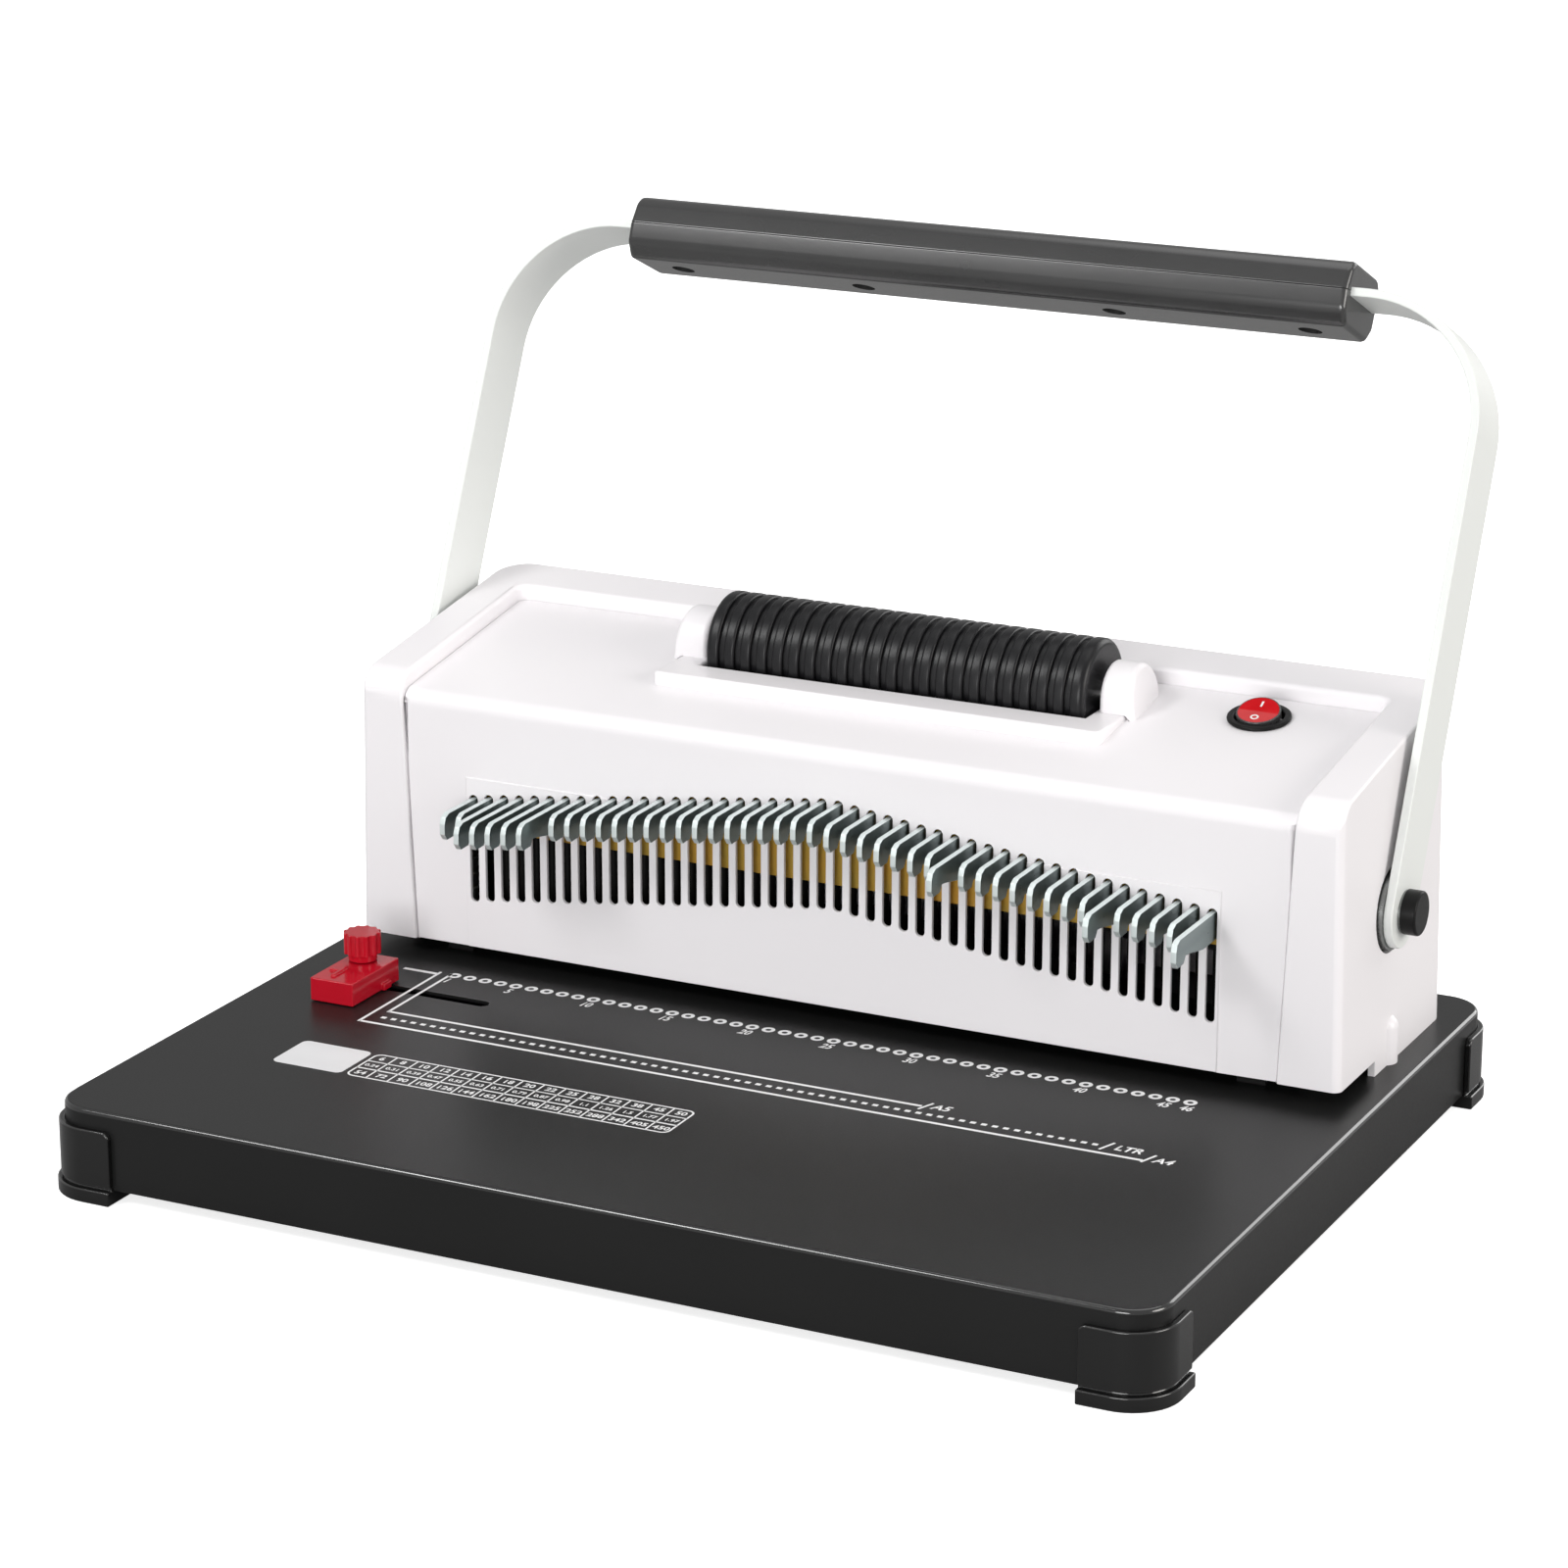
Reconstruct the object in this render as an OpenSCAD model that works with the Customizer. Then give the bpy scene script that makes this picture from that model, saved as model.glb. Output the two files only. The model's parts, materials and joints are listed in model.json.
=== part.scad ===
// Coil binding machine: lever punch for 46 holes, powered coil roller, side guide, chip drawer.
// Millimetres, +Z up. Paper is fed in from -Y. The origin lies on the floor under the middle of the whole.
// Every module works from the front edge of the base (y = 0) and is centred by place() at the end.

/* [Base] */
// Bare border of the base beside each side of the housing
base_margin = 10.5; // [6:0.5:30]
// Bare border of the base behind the housing
rear_margin = 16; // [10:0.5:40]
// Height of the base tray
base_h = 27.5; // [27:0.5:40]
// Sheet thickness of the base tray and its bottom
base_sheet = 1.5; // [1:0.1:2]
// Plan radius of the base corners
base_r = 14; // [8:0.5:20]
// Height of the foot pads under the base
foot_h = 5; // [4:0.5:8]
// How far each foot wraps along a side
foot_wrap = 25; // [22:0.5:35]
// Wall of the foot wrap
foot_wall = 2.2; // [1.5:0.1:4]
// Extra overhang of the foot pad
foot_lip = 1.2; // [0.5:0.1:3]
// Drop from the top of the base to the top of a foot
foot_drop = 6.5; // [4:0.5:12]

/* [Housing] */
// Distance from the front of the base to the front of the cover
cover_setback = 187.8; // [170:0.1:230]
// Depth of the housing, front to back
house_d = 108.2; // [108:0.1:125]
// Height of the front upper corner of the cover above the base
cover_h = 99.2; // [99:0.1:110]
// Rise of the cover top towards the back, degrees
top_slope = 8.4; // [7.5:0.1:10]
// Wall of the plastic covers
wall = 2.5; // [2:0.1:3]
// Rounding of the front upper edge of the cover
cover_r = 6; // [4:0.5:10]
// Height of the paper throat
throat = 5.6; // [4.5:0.1:6]
// Width of one side cheek at the base
cheek_w = 22.9; // [22:0.1:30]
// How far the cheeks stand proud of the cover front
cheek_proud = 1.3; // [0.5:0.1:3]
// Height of the rim above the cover top
rim_h = 5.5; // [3:0.5:9]
// Depth of the rear rim
rim_d = 19.8; // [16:0.1:22]
// Outward lean of the seams, mm for each mm of height
seam_lean = 0.041; // [0:0.001:0.05]
// Inward lean of the outer cheek walls, mm for each mm of height
wall_lean = 0.02; // [0:0.001:0.05]
// How far the panel round the slots stands out
panel_t = 0.4; // [0.3:0.1:1]
// Gap between the cover and the cheeks
seam_gap = 0.4; // [0.2:0.05:0.6]
// Plan radius of the front corners of the housing
front_r = 3.2; // [3:0.1:9]
// Plan radius of the rear corners of the housing
house_r = 12; // [8:0.5:14]
// Plan radius of the inner corners of the rim
rim_r = 4; // [2:0.5:6]
// Rounding of the cheeks between front and top
cheek_r = 11.5; // [6:0.5:14]

/* [Punch] */
// Hole pitch of the coil
pitch = 6.35; // [6.35:0.01:6.5]
// Punch pin diameter
pin_d = 4; // [3.5:0.1:4.2]
// Diameter of the slotted pin heads
head_d = 5.4; // [5.2:0.1:5.6]
// Solid end of a pin head above and below its slot
head_end = 2.5; // [2:0.1:2.5]
// Rise of the tab row from its ends to its middle
chevron = 18.2; // [14:0.1:18.5]
// Slot width in the cover
slot_w = 3.5; // [2.8:0.05:3.8]
// Wall of the cover round the slots
slot_wall = 1; // [0.8:0.1:1.6]
// Thickness of one pull tab
tab_t = 2.2; // [1.6:0.1:2.2]
// Height of one pull tab
tab_h = 10; // [8:0.1:10]
// Bottom of the outermost tabs above the base, lever up
tab_low = 52.5; // [51.5:0.1:53]
// How far a pushed-in tab stands out of the cover
tab_out = 22.8; // [18:0.1:28]
// Pull-out travel of a tab
tab_pull = 12; // [11:0.1:12.5]
// Module of the rack teeth
gear_m = 1.5; // [1.5:0.01:1.52]
// Wire of the return springs
spring_wire = 1.1; // [0.8:0.1:1.3]
// Turns of each return spring
spring_turns = 7; // [5:1:8]
// Diameter of the guide posts
post_d = 8; // [6:0.5:8]

/* [Lever] */
// Lever pivot behind the cover front
pivot_back = 47.7; // [47.5:0.1:50]
// Lever pivot above the base
pivot_h = 56; // [54:0.1:57]
// Backward lean of the lever at rest, degrees
lever_lean = 24.4; // [10:0.1:28]
// Pivot to middle of the top bar
lever_len = 208.9; // [195:0.1:240]
// Width of the flat bar
bar_w = 26; // [22:0.5:28]
// Thickness of the flat bar
bar_t = 3.2; // [2.5:0.1:4]
// Outer bend radius of the flat bar
bend_r = 47; // [30:0.5:50]
// Gap between a lever arm and the widest part of the cheek
arm_gap = 0.5; // [0.5:0.1:4]
// Length of the grip
grip_len = 281; // [240:1:284]
// Width of the grip
grip_w = 34.5; // [32:0.5:40]
// Grip height above the bar centre
grip_up = 11; // [8:0.5:14]
// Grip depth below the bar centre
grip_down = 12.5; // [10:0.5:16]
// Diameter of the cross shaft
shaft_d = 12; // [10:0.5:14]
// Diameter of the pivot caps
cap_d = 15.7; // [13:0.1:20]
// Thickness of the pivot caps
cap_t = 5.5; // [3:0.1:8]
// Thickness of the pivot washers
washer_t = 0.8; // [0.6:0.1:2]
// Diameter of the round recess in each cheek
recess_d = 30.5; // [29:0.5:36]

/* [Coil roller] */
// Outside diameter of the ribbed sleeve
roller_d = 38.6; // [34:0.1:39]
// Length of the ribbed sleeve
roller_len = 148; // [120:1:170]
// Gap between the roller and the rear rim
roller_gap = 1.4; // [0.8:0.1:2.4]
// Roller axis above the base
roller_h = 112.5; // [111:0.1:114]
// Number of ribs on the sleeve
rib_count = 23; // [12:1:30]
// Depth of the grooves between ribs
rib_depth = 1.6; // [0.8:0.1:2.5]
// Width of the grooves between ribs
rib_gap = 2.3; // [1:0.1:2.6]
// Rounding of the sleeve ends
sleeve_r = 2.5; // [1:0.1:2.6]
// Front of the level ledge before the roller axis
pad_front = 35; // [30:0.5:40]
// Width of the bearing blocks
block_w = 14.6; // [14.5:0.1:18]
// Radius of the bearing blocks
block_r = 12.5; // [12:0.1:14]

/* [Switch and guide] */
// Outside diameter of the switch bezel
switch_d = 22.6; // [20:0.1:26]
// Switch right of the centre
switch_x = 130.8; // [120:0.1:140]
// Switch in front of the rear rim
switch_fore = 17.4; // [14:0.1:24]
// Swing of the rocker between its two positions, degrees
rock = 24; // [16:1:26]
// Length of the guide slot in the base
guide_slot = 57; // [40:1:57]
// Width of the guide slot
guide_slot_w = 5.6; // [5:0.1:8]
// Width of the side guide block
guide_w = 17.5; // [14:0.5:24]
// Length of the side guide block
guide_len = 32; // [26:0.5:40]
// Height of the side guide block
guide_h = 8.5; // [6:0.5:12]
// Diameter of the clamp knob
knob_d = 13.6; // [11:0.1:16]

/* [Fits] */
// Clearance between pieces that pass each other
gap = 0.3; // [0.3:0.05:0.4]
// Radial clearance of a running fit
run = 0.05; // [0.03:0.01:0.08]

/* [Hidden] */
hole_count = 46;
pulled = [3, 4, 5, 6, 7, 32, 41, 46];
row_half = (hole_count - 1) * pitch / 2;
deck = foot_h + base_h;
seam_half = row_half + 24.7;
house_half = seam_half + cheek_w;
base_w = 2 * (house_half + base_margin);
base_d = cover_setback + house_d + rear_margin;
fy = cover_setback;
rear = fy + house_d;
rim_y = rear - rim_d;
slope = tan(top_slope);
low_z = deck + throat;
top_z = deck + 130;
tab_z = deck + tab_low;
beam_y0 = fy + wall + 4.7;
punch_y = fy + 23.7;
teeth = 22;
pitch_r = gear_m * teeth / 2;
pivot_y = fy + pivot_back;
pivot_z = deck + pivot_h;
arm_x = house_half + arm_gap;
grip_back = pivot_y + (lever_len + grip_up - 3) * sin(lever_lean) + (grip_w / 2 - 0.5) * cos(lever_lean);
back_y = max(grip_back, base_d + foot_wall + foot_lip);
tooth_play = gear_m * 0.15;
roller_y = rim_y - roller_gap - roller_d / 2;
switch_back = rim_y - switch_fore - fy;
roller_z = deck + roller_h;
block_x = roller_len / 2 + 3;
stroke = 26.8;
slot_low = tab_low - stroke - 2.6;
slot_high = tab_low + tab_h + 1.2;
post_x = row_half + 12.1;
post_y = beam_y0 + 8;
rack_x = row_half + 11.1;
frame_x = row_half + 19.1;
motor_d = 37;
lug_r = 5;
lug_out = 2.2;
lug_h = 17.5;
motor_len = 59;
screw_low = 10;
screw_high = 104;
plate_side = 16;
plate_h = 41;
motor_y = rear - wall - motor_d / 2 - 9;
motor_z = deck + motor_d / 2 + 9;
belt_x = block_x + 3.4;
belt_w = 6.5;
pulley_r = 8.6;
small_r = 6.5;
guide_y = fy - 38.2;
knob_x = -(row_half + 25.1);
slot_x0 = knob_x - 8;
peak = chevron * (1 + 0.5 / (hole_count / 2 - 1));
bin_x = row_half + 5;
foot_block = 11.5;
foot_groove = 1;
// Hair that keeps flat faces of two crossing outlines from falling together
skin = 0.02;
flange_d = 16;
frame_h = cover_h - 10.2;
panel_top = tab_low + 17.6;
axle_half = switch_d / 2 - 2;

white = [0.93, 0.92, 0.93];
black = [0.09, 0.09, 0.1];
steel = [0.62, 0.65, 0.66];
zinc = [0.7, 0.76, 0.76];
brass = [0.75, 0.6, 0.25];
red = [0.75, 0.05, 0.1];

// Helpers

module place() {
    translate([0, (foot_wall + foot_lip - back_y) / 2, 0]) children();
}

// A side view drawing (y, z) pulled along X from x0 for a length
module along_x(x0, length) {
    translate([x0, 0, 0]) rotate([90, 0, 90]) linear_extrude(length) children();
}

// A front view drawing (x, z) pulled along Y from y0 for a length
module along_y(y0, length) {
    translate([0, y0 + length, 0]) rotate([90, 0, 0]) linear_extrude(length) children();
}

module rod_x(x0, length, d, y, z) {
    along_x(x0, length) translate([y, z]) circle(d = d, $fn = 64);
}

// Plan rectangle with round corners, front edge at y0
module plan(w, y0, d, r) {
    translate([-w / 2 + r, y0]) square([w - 2 * r, d]);
    translate([-w / 2, y0 + r]) square([w, d - 2 * r]);
    for (x = [-w / 2 + r, w / 2 - r], y = [y0 + r, y0 + d - r]) {
        translate([x, y]) circle(r, $fn = 64);
    }
}

function hole_x(i) = (i - (hole_count + 1) / 2) * pitch;
function rise(i) = chevron * (1 - (abs(i - (hole_count + 1) / 2) - 0.5) / (hole_count / 2 - 1));
function is_out(i) = len(search(i, pulled)) > 0;
function top_at(y) = deck + cover_h + (y - fy) * slope;

// Side outline under a sloping top: front at y0, back at y1, corner height zk, rounding r, inset o
module sloped(y0, y1, z0, zk, r, o) {
    zc = zk + r * slope - r / cos(top_slope);
    t = [y0 + r - (r - o) * sin(top_slope), zc + (r - o) * cos(top_slope)];
    polygon([[y0 + o, z0], [y0 + o, zc], t, [y1 - o, t[1] + (y1 - o - t[0]) * slope], [y1 - o, z0]]);
    translate([y0 + r, zc]) circle(r - o, $fn = 64);
}

// Front view wedge: half width at the base level and its lean, from z0 up to z1
module wedge(half, lean, z0, z1) {
    a = half + lean * (z0 - deck);
    b = half + lean * (z1 - deck);
    polygon([[-a, z0], [a, z0], [b, z1], [-b, z1]]);
}

// Base

module base_tray() {
    color(black) place() difference() {
        translate([0, 0, foot_h]) linear_extrude(base_h) plan(base_w, 0, base_d, base_r);
        translate([0, 0, foot_h - 1]) linear_extrude(base_h - base_sheet + 1)
            plan(base_w - 2 * base_sheet, base_sheet, base_d - 2 * base_sheet, base_r - base_sheet);
        translate([slot_x0, guide_y - guide_slot_w / 2, deck - 5]) cube([guide_slot, guide_slot_w, 10]);
        for (x = [slot_x0, slot_x0 + guide_slot]) {
            translate([x, guide_y, deck - 5]) cylinder(d = guide_slot_w, h = 10, $fn = 48);
        }
        translate([-row_half - 6, punch_y - 6, deck - 5]) cube([2 * row_half + 12, 12, 10]);
        translate([-bin_x - gap, base_d - 10, foot_h + base_sheet]) cube([2 * (bin_x + gap), 20, 17.6]);
    }
}

module base_bottom() {
    color(black) place() translate([0, 0, foot_h]) linear_extrude(base_sheet)
        plan(base_w - 2 * base_sheet, base_sheet, base_d - 2 * base_sheet, base_r - base_sheet);
}

module foot_area(w) {
    e = foot_wall + foot_lip;
    for (x = [-1, 1], y = [0, 1]) {
        translate([x * base_w / 2, y * base_d]) square(2 * (w + e), center = true);
    }
}

// Plan of the corner wraps with a given wall
module foot_ring(t) {
    intersection() {
        difference() {
            plan(base_w + 2 * t, -t, base_d + 2 * t, base_r + t);
            plan(base_w, 0, base_d, base_r);
        }
        foot_area(foot_wrap - foot_wall - foot_lip);
    }
}

module corner_feet() {
    e = foot_wall + foot_lip;
    color([0.06, 0.06, 0.065]) place() {
        linear_extrude(foot_h) intersection() {
            plan(base_w + 2 * e, -e, base_d + 2 * e, base_r + e);
            foot_area(foot_wrap - e);
        }
        translate([0, 0, foot_h]) linear_extrude(foot_groove) foot_ring(foot_wall / 2);
        translate([0, 0, foot_h + foot_groove]) linear_extrude(base_h - foot_drop - foot_groove)
            foot_ring(foot_wall);
    }
}

module die_plate() {
    color(steel) place() difference() {
        union() {
            translate([-row_half - 18, punch_y - 12, deck - base_sheet - 6]) cube([2 * row_half + 36, 25, 6]);
            translate([-row_half - 5.8, punch_y - 5.8, deck - 4]) cube([2 * row_half + 11.6, 11.6, 4]);
        }
        for (i = [1 : hole_count]) {
            translate([hole_x(i), punch_y, deck - 10]) cylinder(d = pin_d + 2 * run, h = 20, $fn = 24);
        }
    }
}

module paper_stop() {
    color(steel) place()
        translate([-row_half - 16, punch_y + 4.5, deck]) cube([2 * row_half + 32, 8, throat + 0.4]);
}

module pin_guide() {
    z0 = deck + throat + 0.4;
    x1 = row_half + 4.2;
    color(steel) place() difference() {
        along_y(punch_y - 7.5, 20)
            polygon([[-x1, z0], [x1, z0], [x1, z0 + 7.5], [0, z0 + 7.8 + peak], [-x1, z0 + 7.5]]);
        for (i = [1 : hole_count]) {
            translate([hole_x(i), punch_y, z0 - 5]) cylinder(d = pin_d + 2 * run, h = 50, $fn = 24);
        }
    }
}

module chip_drawer() {
    z0 = foot_h + base_sheet + gap;
    color([0.14, 0.14, 0.15]) place() difference() {
        union() {
            translate([-bin_x, punch_y - 13, z0]) cube([2 * bin_x, base_d - punch_y + 13, 16]);
        }
        translate([-bin_x + 1.6, punch_y - 11.4, z0 + 1.6])
            cube([2 * bin_x - 3.2, base_d - punch_y + 9, 20]);
        translate([0, base_d + 4, z0 + 16]) rotate([90, 0, 0]) cylinder(d = 26, h = 12, $fn = 64);
    }
}

// Housing

module shell_side(o) {
    y0 = fy - cheek_proud;
    difference() {
        sloped(y0, rear, deck, deck + cover_h + rim_h, cheek_r, o);
        if (o == 0) {
            translate([y0 - 1, deck - 1]) square([36, throat + 1]);
        }
    }
}

// A plan pulled upwards and tipped about its base edge on side s, so that this side leans by a ratio
module leaning(s, half, lean) {
    translate([s * half, 0, deck]) rotate([0, s * atan(lean), 0]) translate([-s * half, 0, -30])
        linear_extrude(190) children();
}

// Plan of the housing, inset by o
module house_plan(o) {
    w = 2 * (house_half - o);
    d = house_d + cheek_proud - 2 * o - 25;
    plan(w, fy - cheek_proud + o, d, front_r - o);
    plan(w, fy - cheek_proud + o + 25, d, house_r - o);
}

// Plan of the space between the cheeks, inset by o at the sides and e at the back
module seam_plan(o, e) {
    plan(2 * (seam_half - o), fy - 40, rim_y - e - fy + 40, rim_r);
}

module shell() {
    color(white) place() difference() {
        union() {
            intersection() {
                along_x(-house_half - 9, 2 * house_half + 18) shell_side(0);
                leaning(1, house_half, -wall_lean) house_plan(-skin);
                leaning(-1, house_half, -wall_lean) house_plan(-skin);
            }
            for (s = [-1, 1]) {
                translate([s * (house_half - lug_r + lug_out), fy + 50, deck]) {
                    cylinder(r = lug_r, h = lug_h - lug_r, $fn = 48);
                    translate([0, 0, lug_h - lug_r]) sphere(lug_r, $fn = 48);
                }
            }
        }
        for (s = [-1, 1]) {
            leaning(s, seam_half, seam_lean) seam_plan(0, 0);
        }
        difference() {
            intersection() {
                translate([0, 0, -10]) along_x(-house_half - 9, 2 * house_half + 18) shell_side(wall);
                leaning(1, house_half, -wall_lean) house_plan(wall - 0.1);
                leaning(-1, house_half, -wall_lean) house_plan(wall - 0.1);
            }
            along_y(fy - 20, rim_y - 0.5 - fy + 20) wedge(seam_half + wall, seam_lean, deck - 20, top_z);
            along_x(-seam_half - 8, 2 * seam_half + 16)
                translate([rim_y, top_at(rim_y) - 8]) square([wall, 40]);
        }
        intersection() {
            translate([0, 0, -0.1]) along_x(-house_half, 2 * house_half) shell_side(wall);
            along_x(-seam_half - 8, 2 * seam_half + 16)
                translate([rim_y + wall, deck - 1]) square([rim_d - wall, 140]);
        }
        for (s = [-1, 1]) {
            rod_x(s > 0 ? seam_half - 4 : -house_half - 6, cheek_w + 10, recess_d, pivot_y, pivot_z);
        }
        translate([-seam_half + 30, rear - 8, deck + 14]) cube([28, 16, 21]);
    }
}

module cover_side(o) {
    sloped(fy, rim_y - gap + o, o > 0 ? low_z + wall : low_z, deck + cover_h, cover_r, o);
}

// Level ledge in front of the roller, running out into the sloping top
module pad() {
    y0 = roller_y - pad_front;
    z1 = top_at(roller_y - 1);
    translate([-block_x - 10, y0, top_at(y0) - 1])
        cube([2 * block_x + 20, pad_front - 1, z1 - top_at(y0) + 1]);
}

module cover() {
    color(white) place() difference() {
        intersection() {
            union() {
                difference() {
                    along_x(-house_half, 2 * house_half) cover_side(0);
                    along_x(-house_half - 1, 2 * house_half + 2) cover_side(wall);
                    along_x(-house_half - 1, 2 * house_half + 2)
                        translate([fy + flange_d, 0]) square([house_d, deck + 60]);
                }
                pad();
                translate([-row_half - 3.1, fy - panel_t, low_z])
                    cube([2 * row_half + 6.2, panel_t + 1, deck + panel_top - low_z]);
            }
            union() {
                for (s = [-1, 1]) {
                    leaning(s, seam_half, seam_lean) seam_plan(seam_gap, gap);
                }
            }
        }
        translate([-row_half - 4, fy + slot_wall, deck + slot_low - 3])
            cube([2 * row_half + 8, wall, slot_high - slot_low + chevron + 6]);
        for (i = [1 : hole_count]) {
            z0 = deck + slot_low + rise(i);
            z1 = deck + slot_high + rise(i);
            along_y(fy - 5, 12) union() {
                translate([hole_x(i) - slot_w / 2, z0 + slot_w / 2]) square([slot_w, z1 - z0 - slot_w]);
                translate([hole_x(i), z0 + slot_w / 2]) circle(d = slot_w, $fn = 24);
                translate([hole_x(i), z1 - slot_w / 2]) circle(d = slot_w, $fn = 24);
            }
        }
        translate([-roller_len / 2 - 1.2, roller_y - roller_d / 2 - 1, roller_z - 40])
            cube([roller_len + 2.4, roller_d + 10, 80]);
        for (s = [-1, 1]) {
            translate([s * post_x - 5.8, post_y - 6.6, low_z - 1]) cube([11.6, 20, wall + 2]);
        }
        translate([belt_x - 1, roller_y - block_r + 1, roller_z - 30]) cube([belt_w + 2, 2 * block_r - 2, 60]);
        translate([-block_x - 11, roller_y - 5, roller_z - 6]) cube([2 * block_x + 22, 10, 12]);
        translate([switch_x, fy + switch_back, top_at(fy + switch_back)])
            rotate([top_slope, 0, 0]) cylinder(d = switch_d - 3, h = 30, center = true, $fn = 64);
    }
}

module bearing_blocks() {
    z0 = roller_z - 14;
    z1 = roller_z + block_r;
    color(white) place() difference() {
        for (s = [-1, 1]) {
            intersection() {
                along_x(s > 0 ? block_x : -block_x - block_w, block_w) difference() {
                    union() {
                        translate([roller_y, roller_z]) circle(block_r, $fn = 64);
                        translate([roller_y - block_r, z0]) square([2 * block_r, 14]);
                    }
                    polygon([[fy, top_at(fy)], [rear, top_at(rear)], [rear, deck], [fy, deck]]);
                }
                along_y(roller_y - 2 * block_r, 4 * block_r)
                    polygon([for (p = [[0, z0], [block_w, z0], [block_w - 3, z1], [0, z1]])
                        [s * (block_x + p[0]), p[1]]]);
            }
        }
        for (s = [-1, 1]) {
            along_x(s > 0 ? block_x + 2 : -block_x - block_w + 4.3, block_w - 6.3) union() {
                translate([roller_y, roller_z]) circle(block_r - 1.8, $fn = 64);
                translate([roller_y - block_r + 1.8, roller_z - 20]) square([2 * block_r - 3.6, 20]);
            }
            rod_x(s > 0 ? block_x - 1 : -block_x - 4, 5, 8 + 2 * run, roller_y, roller_z);
        }
        pad();
    }
}

module mains_inlet() {
    color(black) place() difference() {
        translate([-seam_half + 30, rear - 14, deck + 14]) cube([28, 14, 21]);
        translate([-seam_half + 33, rear - 11, deck + 17]) cube([22, 20, 15]);
        for (x = [36, 44, 52]) {
            translate([-seam_half + x - 1, rear - 15, deck + 23]) cube([2, 10, 4]);
        }
    }
}

module housing_screws() {
    color(steel) place() for (x = [-0.8, -0.3, 0.3, 0.8], z = [deck + screw_low, deck + screw_high]) {
        translate([x * seam_half, rear + 1.8, z]) rotate([90, 0, 0]) cylinder(d = 6.5, h = 1.8, $fn = 32);
    }
}

// Frame and drive

module side_frames() {
    color(steel) place() difference() {
        for (s = [-1, 1]) {
            translate([s > 0 ? frame_x : -frame_x - 4, fy + flange_d + 0.5, deck])
                cube([4, house_d - flange_d - rim_d - 4, frame_h]);
        }
        rod_x(-frame_x - 9, 2 * frame_x + 18, shaft_d + 6, pivot_y, pivot_z);
    }
}

module shaft_bushes() {
    color(brass) place() difference() {
        for (s = [-1, 1]) {
            rod_x(s > 0 ? frame_x : -frame_x - 4, 4, shaft_d + 6, pivot_y, pivot_z);
            rod_x(s > 0 ? frame_x - 1.5 : -frame_x, 1.5, shaft_d + 12, pivot_y, pivot_z);
        }
        rod_x(-frame_x - 9, 2 * frame_x + 18, shaft_d + 2 * run, pivot_y, pivot_z);
    }
}

module post_feet() {
    color(steel) place() for (s = [-1, 1]) {
        difference() {
            translate([s * post_x - 5.2, post_y - 6, deck]) cube([10.4, 12, foot_block]);
            translate([s * post_x, post_y, deck - 1]) cylinder(d = post_d, h = 20, $fn = 48);
        }
    }
}

module guide_posts() {
    color(steel) place() for (s = [-1, 1]) {
        translate([s * post_x, post_y, deck]) cylinder(d = post_d, h = frame_h, $fn = 48);
    }
}

// Round wire wound on a helix: radius r, wire d, height h between the wire centres
module coil(r, d, h, turns) {
    n = turns * 20;
    m = 6;
    pts = [for (k = [0 : n], j = [0 : m - 1]) let (a = 360 * turns * k / n, b = 360 * j / m)
        [(r + d / 2 * cos(b)) * cos(a), (r + d / 2 * cos(b)) * sin(a), h * k / n + d / 2 * sin(b)]];
    sides = [for (k = [0 : n - 1], j = [0 : m - 1])
        [k * m + j, k * m + (j + 1) % m, (k + 1) * m + (j + 1) % m, (k + 1) * m + j]];
    polyhedron(pts, concat([[for (j = [0 : m - 1]) m - 1 - j]], sides, [[for (j = [0 : m - 1]) n * m + j]]));
}

module return_springs() {
    z0 = deck + foot_block;
    h = tab_z + 1 - gap - z0 - spring_wire;
    echo(least_gap_between_spring_turns = h / spring_turns - spring_wire);
    color(steel) place() for (s = [-1, 1]) {
        translate([s * post_x, post_y, z0 + spring_wire / 2])
            coil(post_d / 2 + spring_wire / 2 + 0.4, spring_wire, h, spring_turns);
    }
}

module motor() {
    color([0.45, 0.46, 0.48]) place() difference() {
        union() {
            rod_x(block_x - 4 - motor_len, motor_len, motor_d, motor_y, motor_z);
            rod_x(block_x - 4, 4, 12, motor_y, motor_z);
        }
        rod_x(block_x - 12, 20, 5 + 2 * run, motor_y, motor_z);
    }
}

module motor_bracket() {
    color(steel) place() difference() {
        union() {
            translate([block_x - 4, motor_y - motor_d / 2 - 2, deck])
                cube([3, motor_d + 4, motor_z + motor_d / 2 + 2 - deck]);
            translate([block_x - 22, motor_y - motor_d / 2 - 2, deck]) cube([19, motor_d + 4, 3]);
        }
        rod_x(block_x - 10, 20, 12, motor_y, motor_z);
    }
}

module motor_pulley() {
    color(steel) place() {
        rod_x(block_x - 10, belt_w + 15, 5, motor_y, motor_z);
        rod_x(belt_x, belt_w, 2 * small_r, motor_y, motor_z);
    }
}

module roller_pulley() {
    color(steel) place() difference() {
        rod_x(belt_x, belt_w, 2 * pulley_r, roller_y, roller_z);
        rod_x(belt_x - 1, belt_w + 2, 8, roller_y, roller_z);
    }
}

module belt_loop(extra) {
    hull() {
        translate([roller_y, roller_z]) circle(pulley_r + extra, $fn = 40);
        translate([motor_y, motor_z]) circle(small_r + extra, $fn = 40);
    }
}

module belt() {
    color(black) place() along_x(belt_x + 0.5, belt_w - 1) difference() {
        belt_loop(1.5);
        belt_loop(gap);
    }
}

module roller_shaft() {
    color(steel) place() rod_x(-block_x - 10, 2 * block_x + 20, 8, roller_y, roller_z);
}

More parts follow.
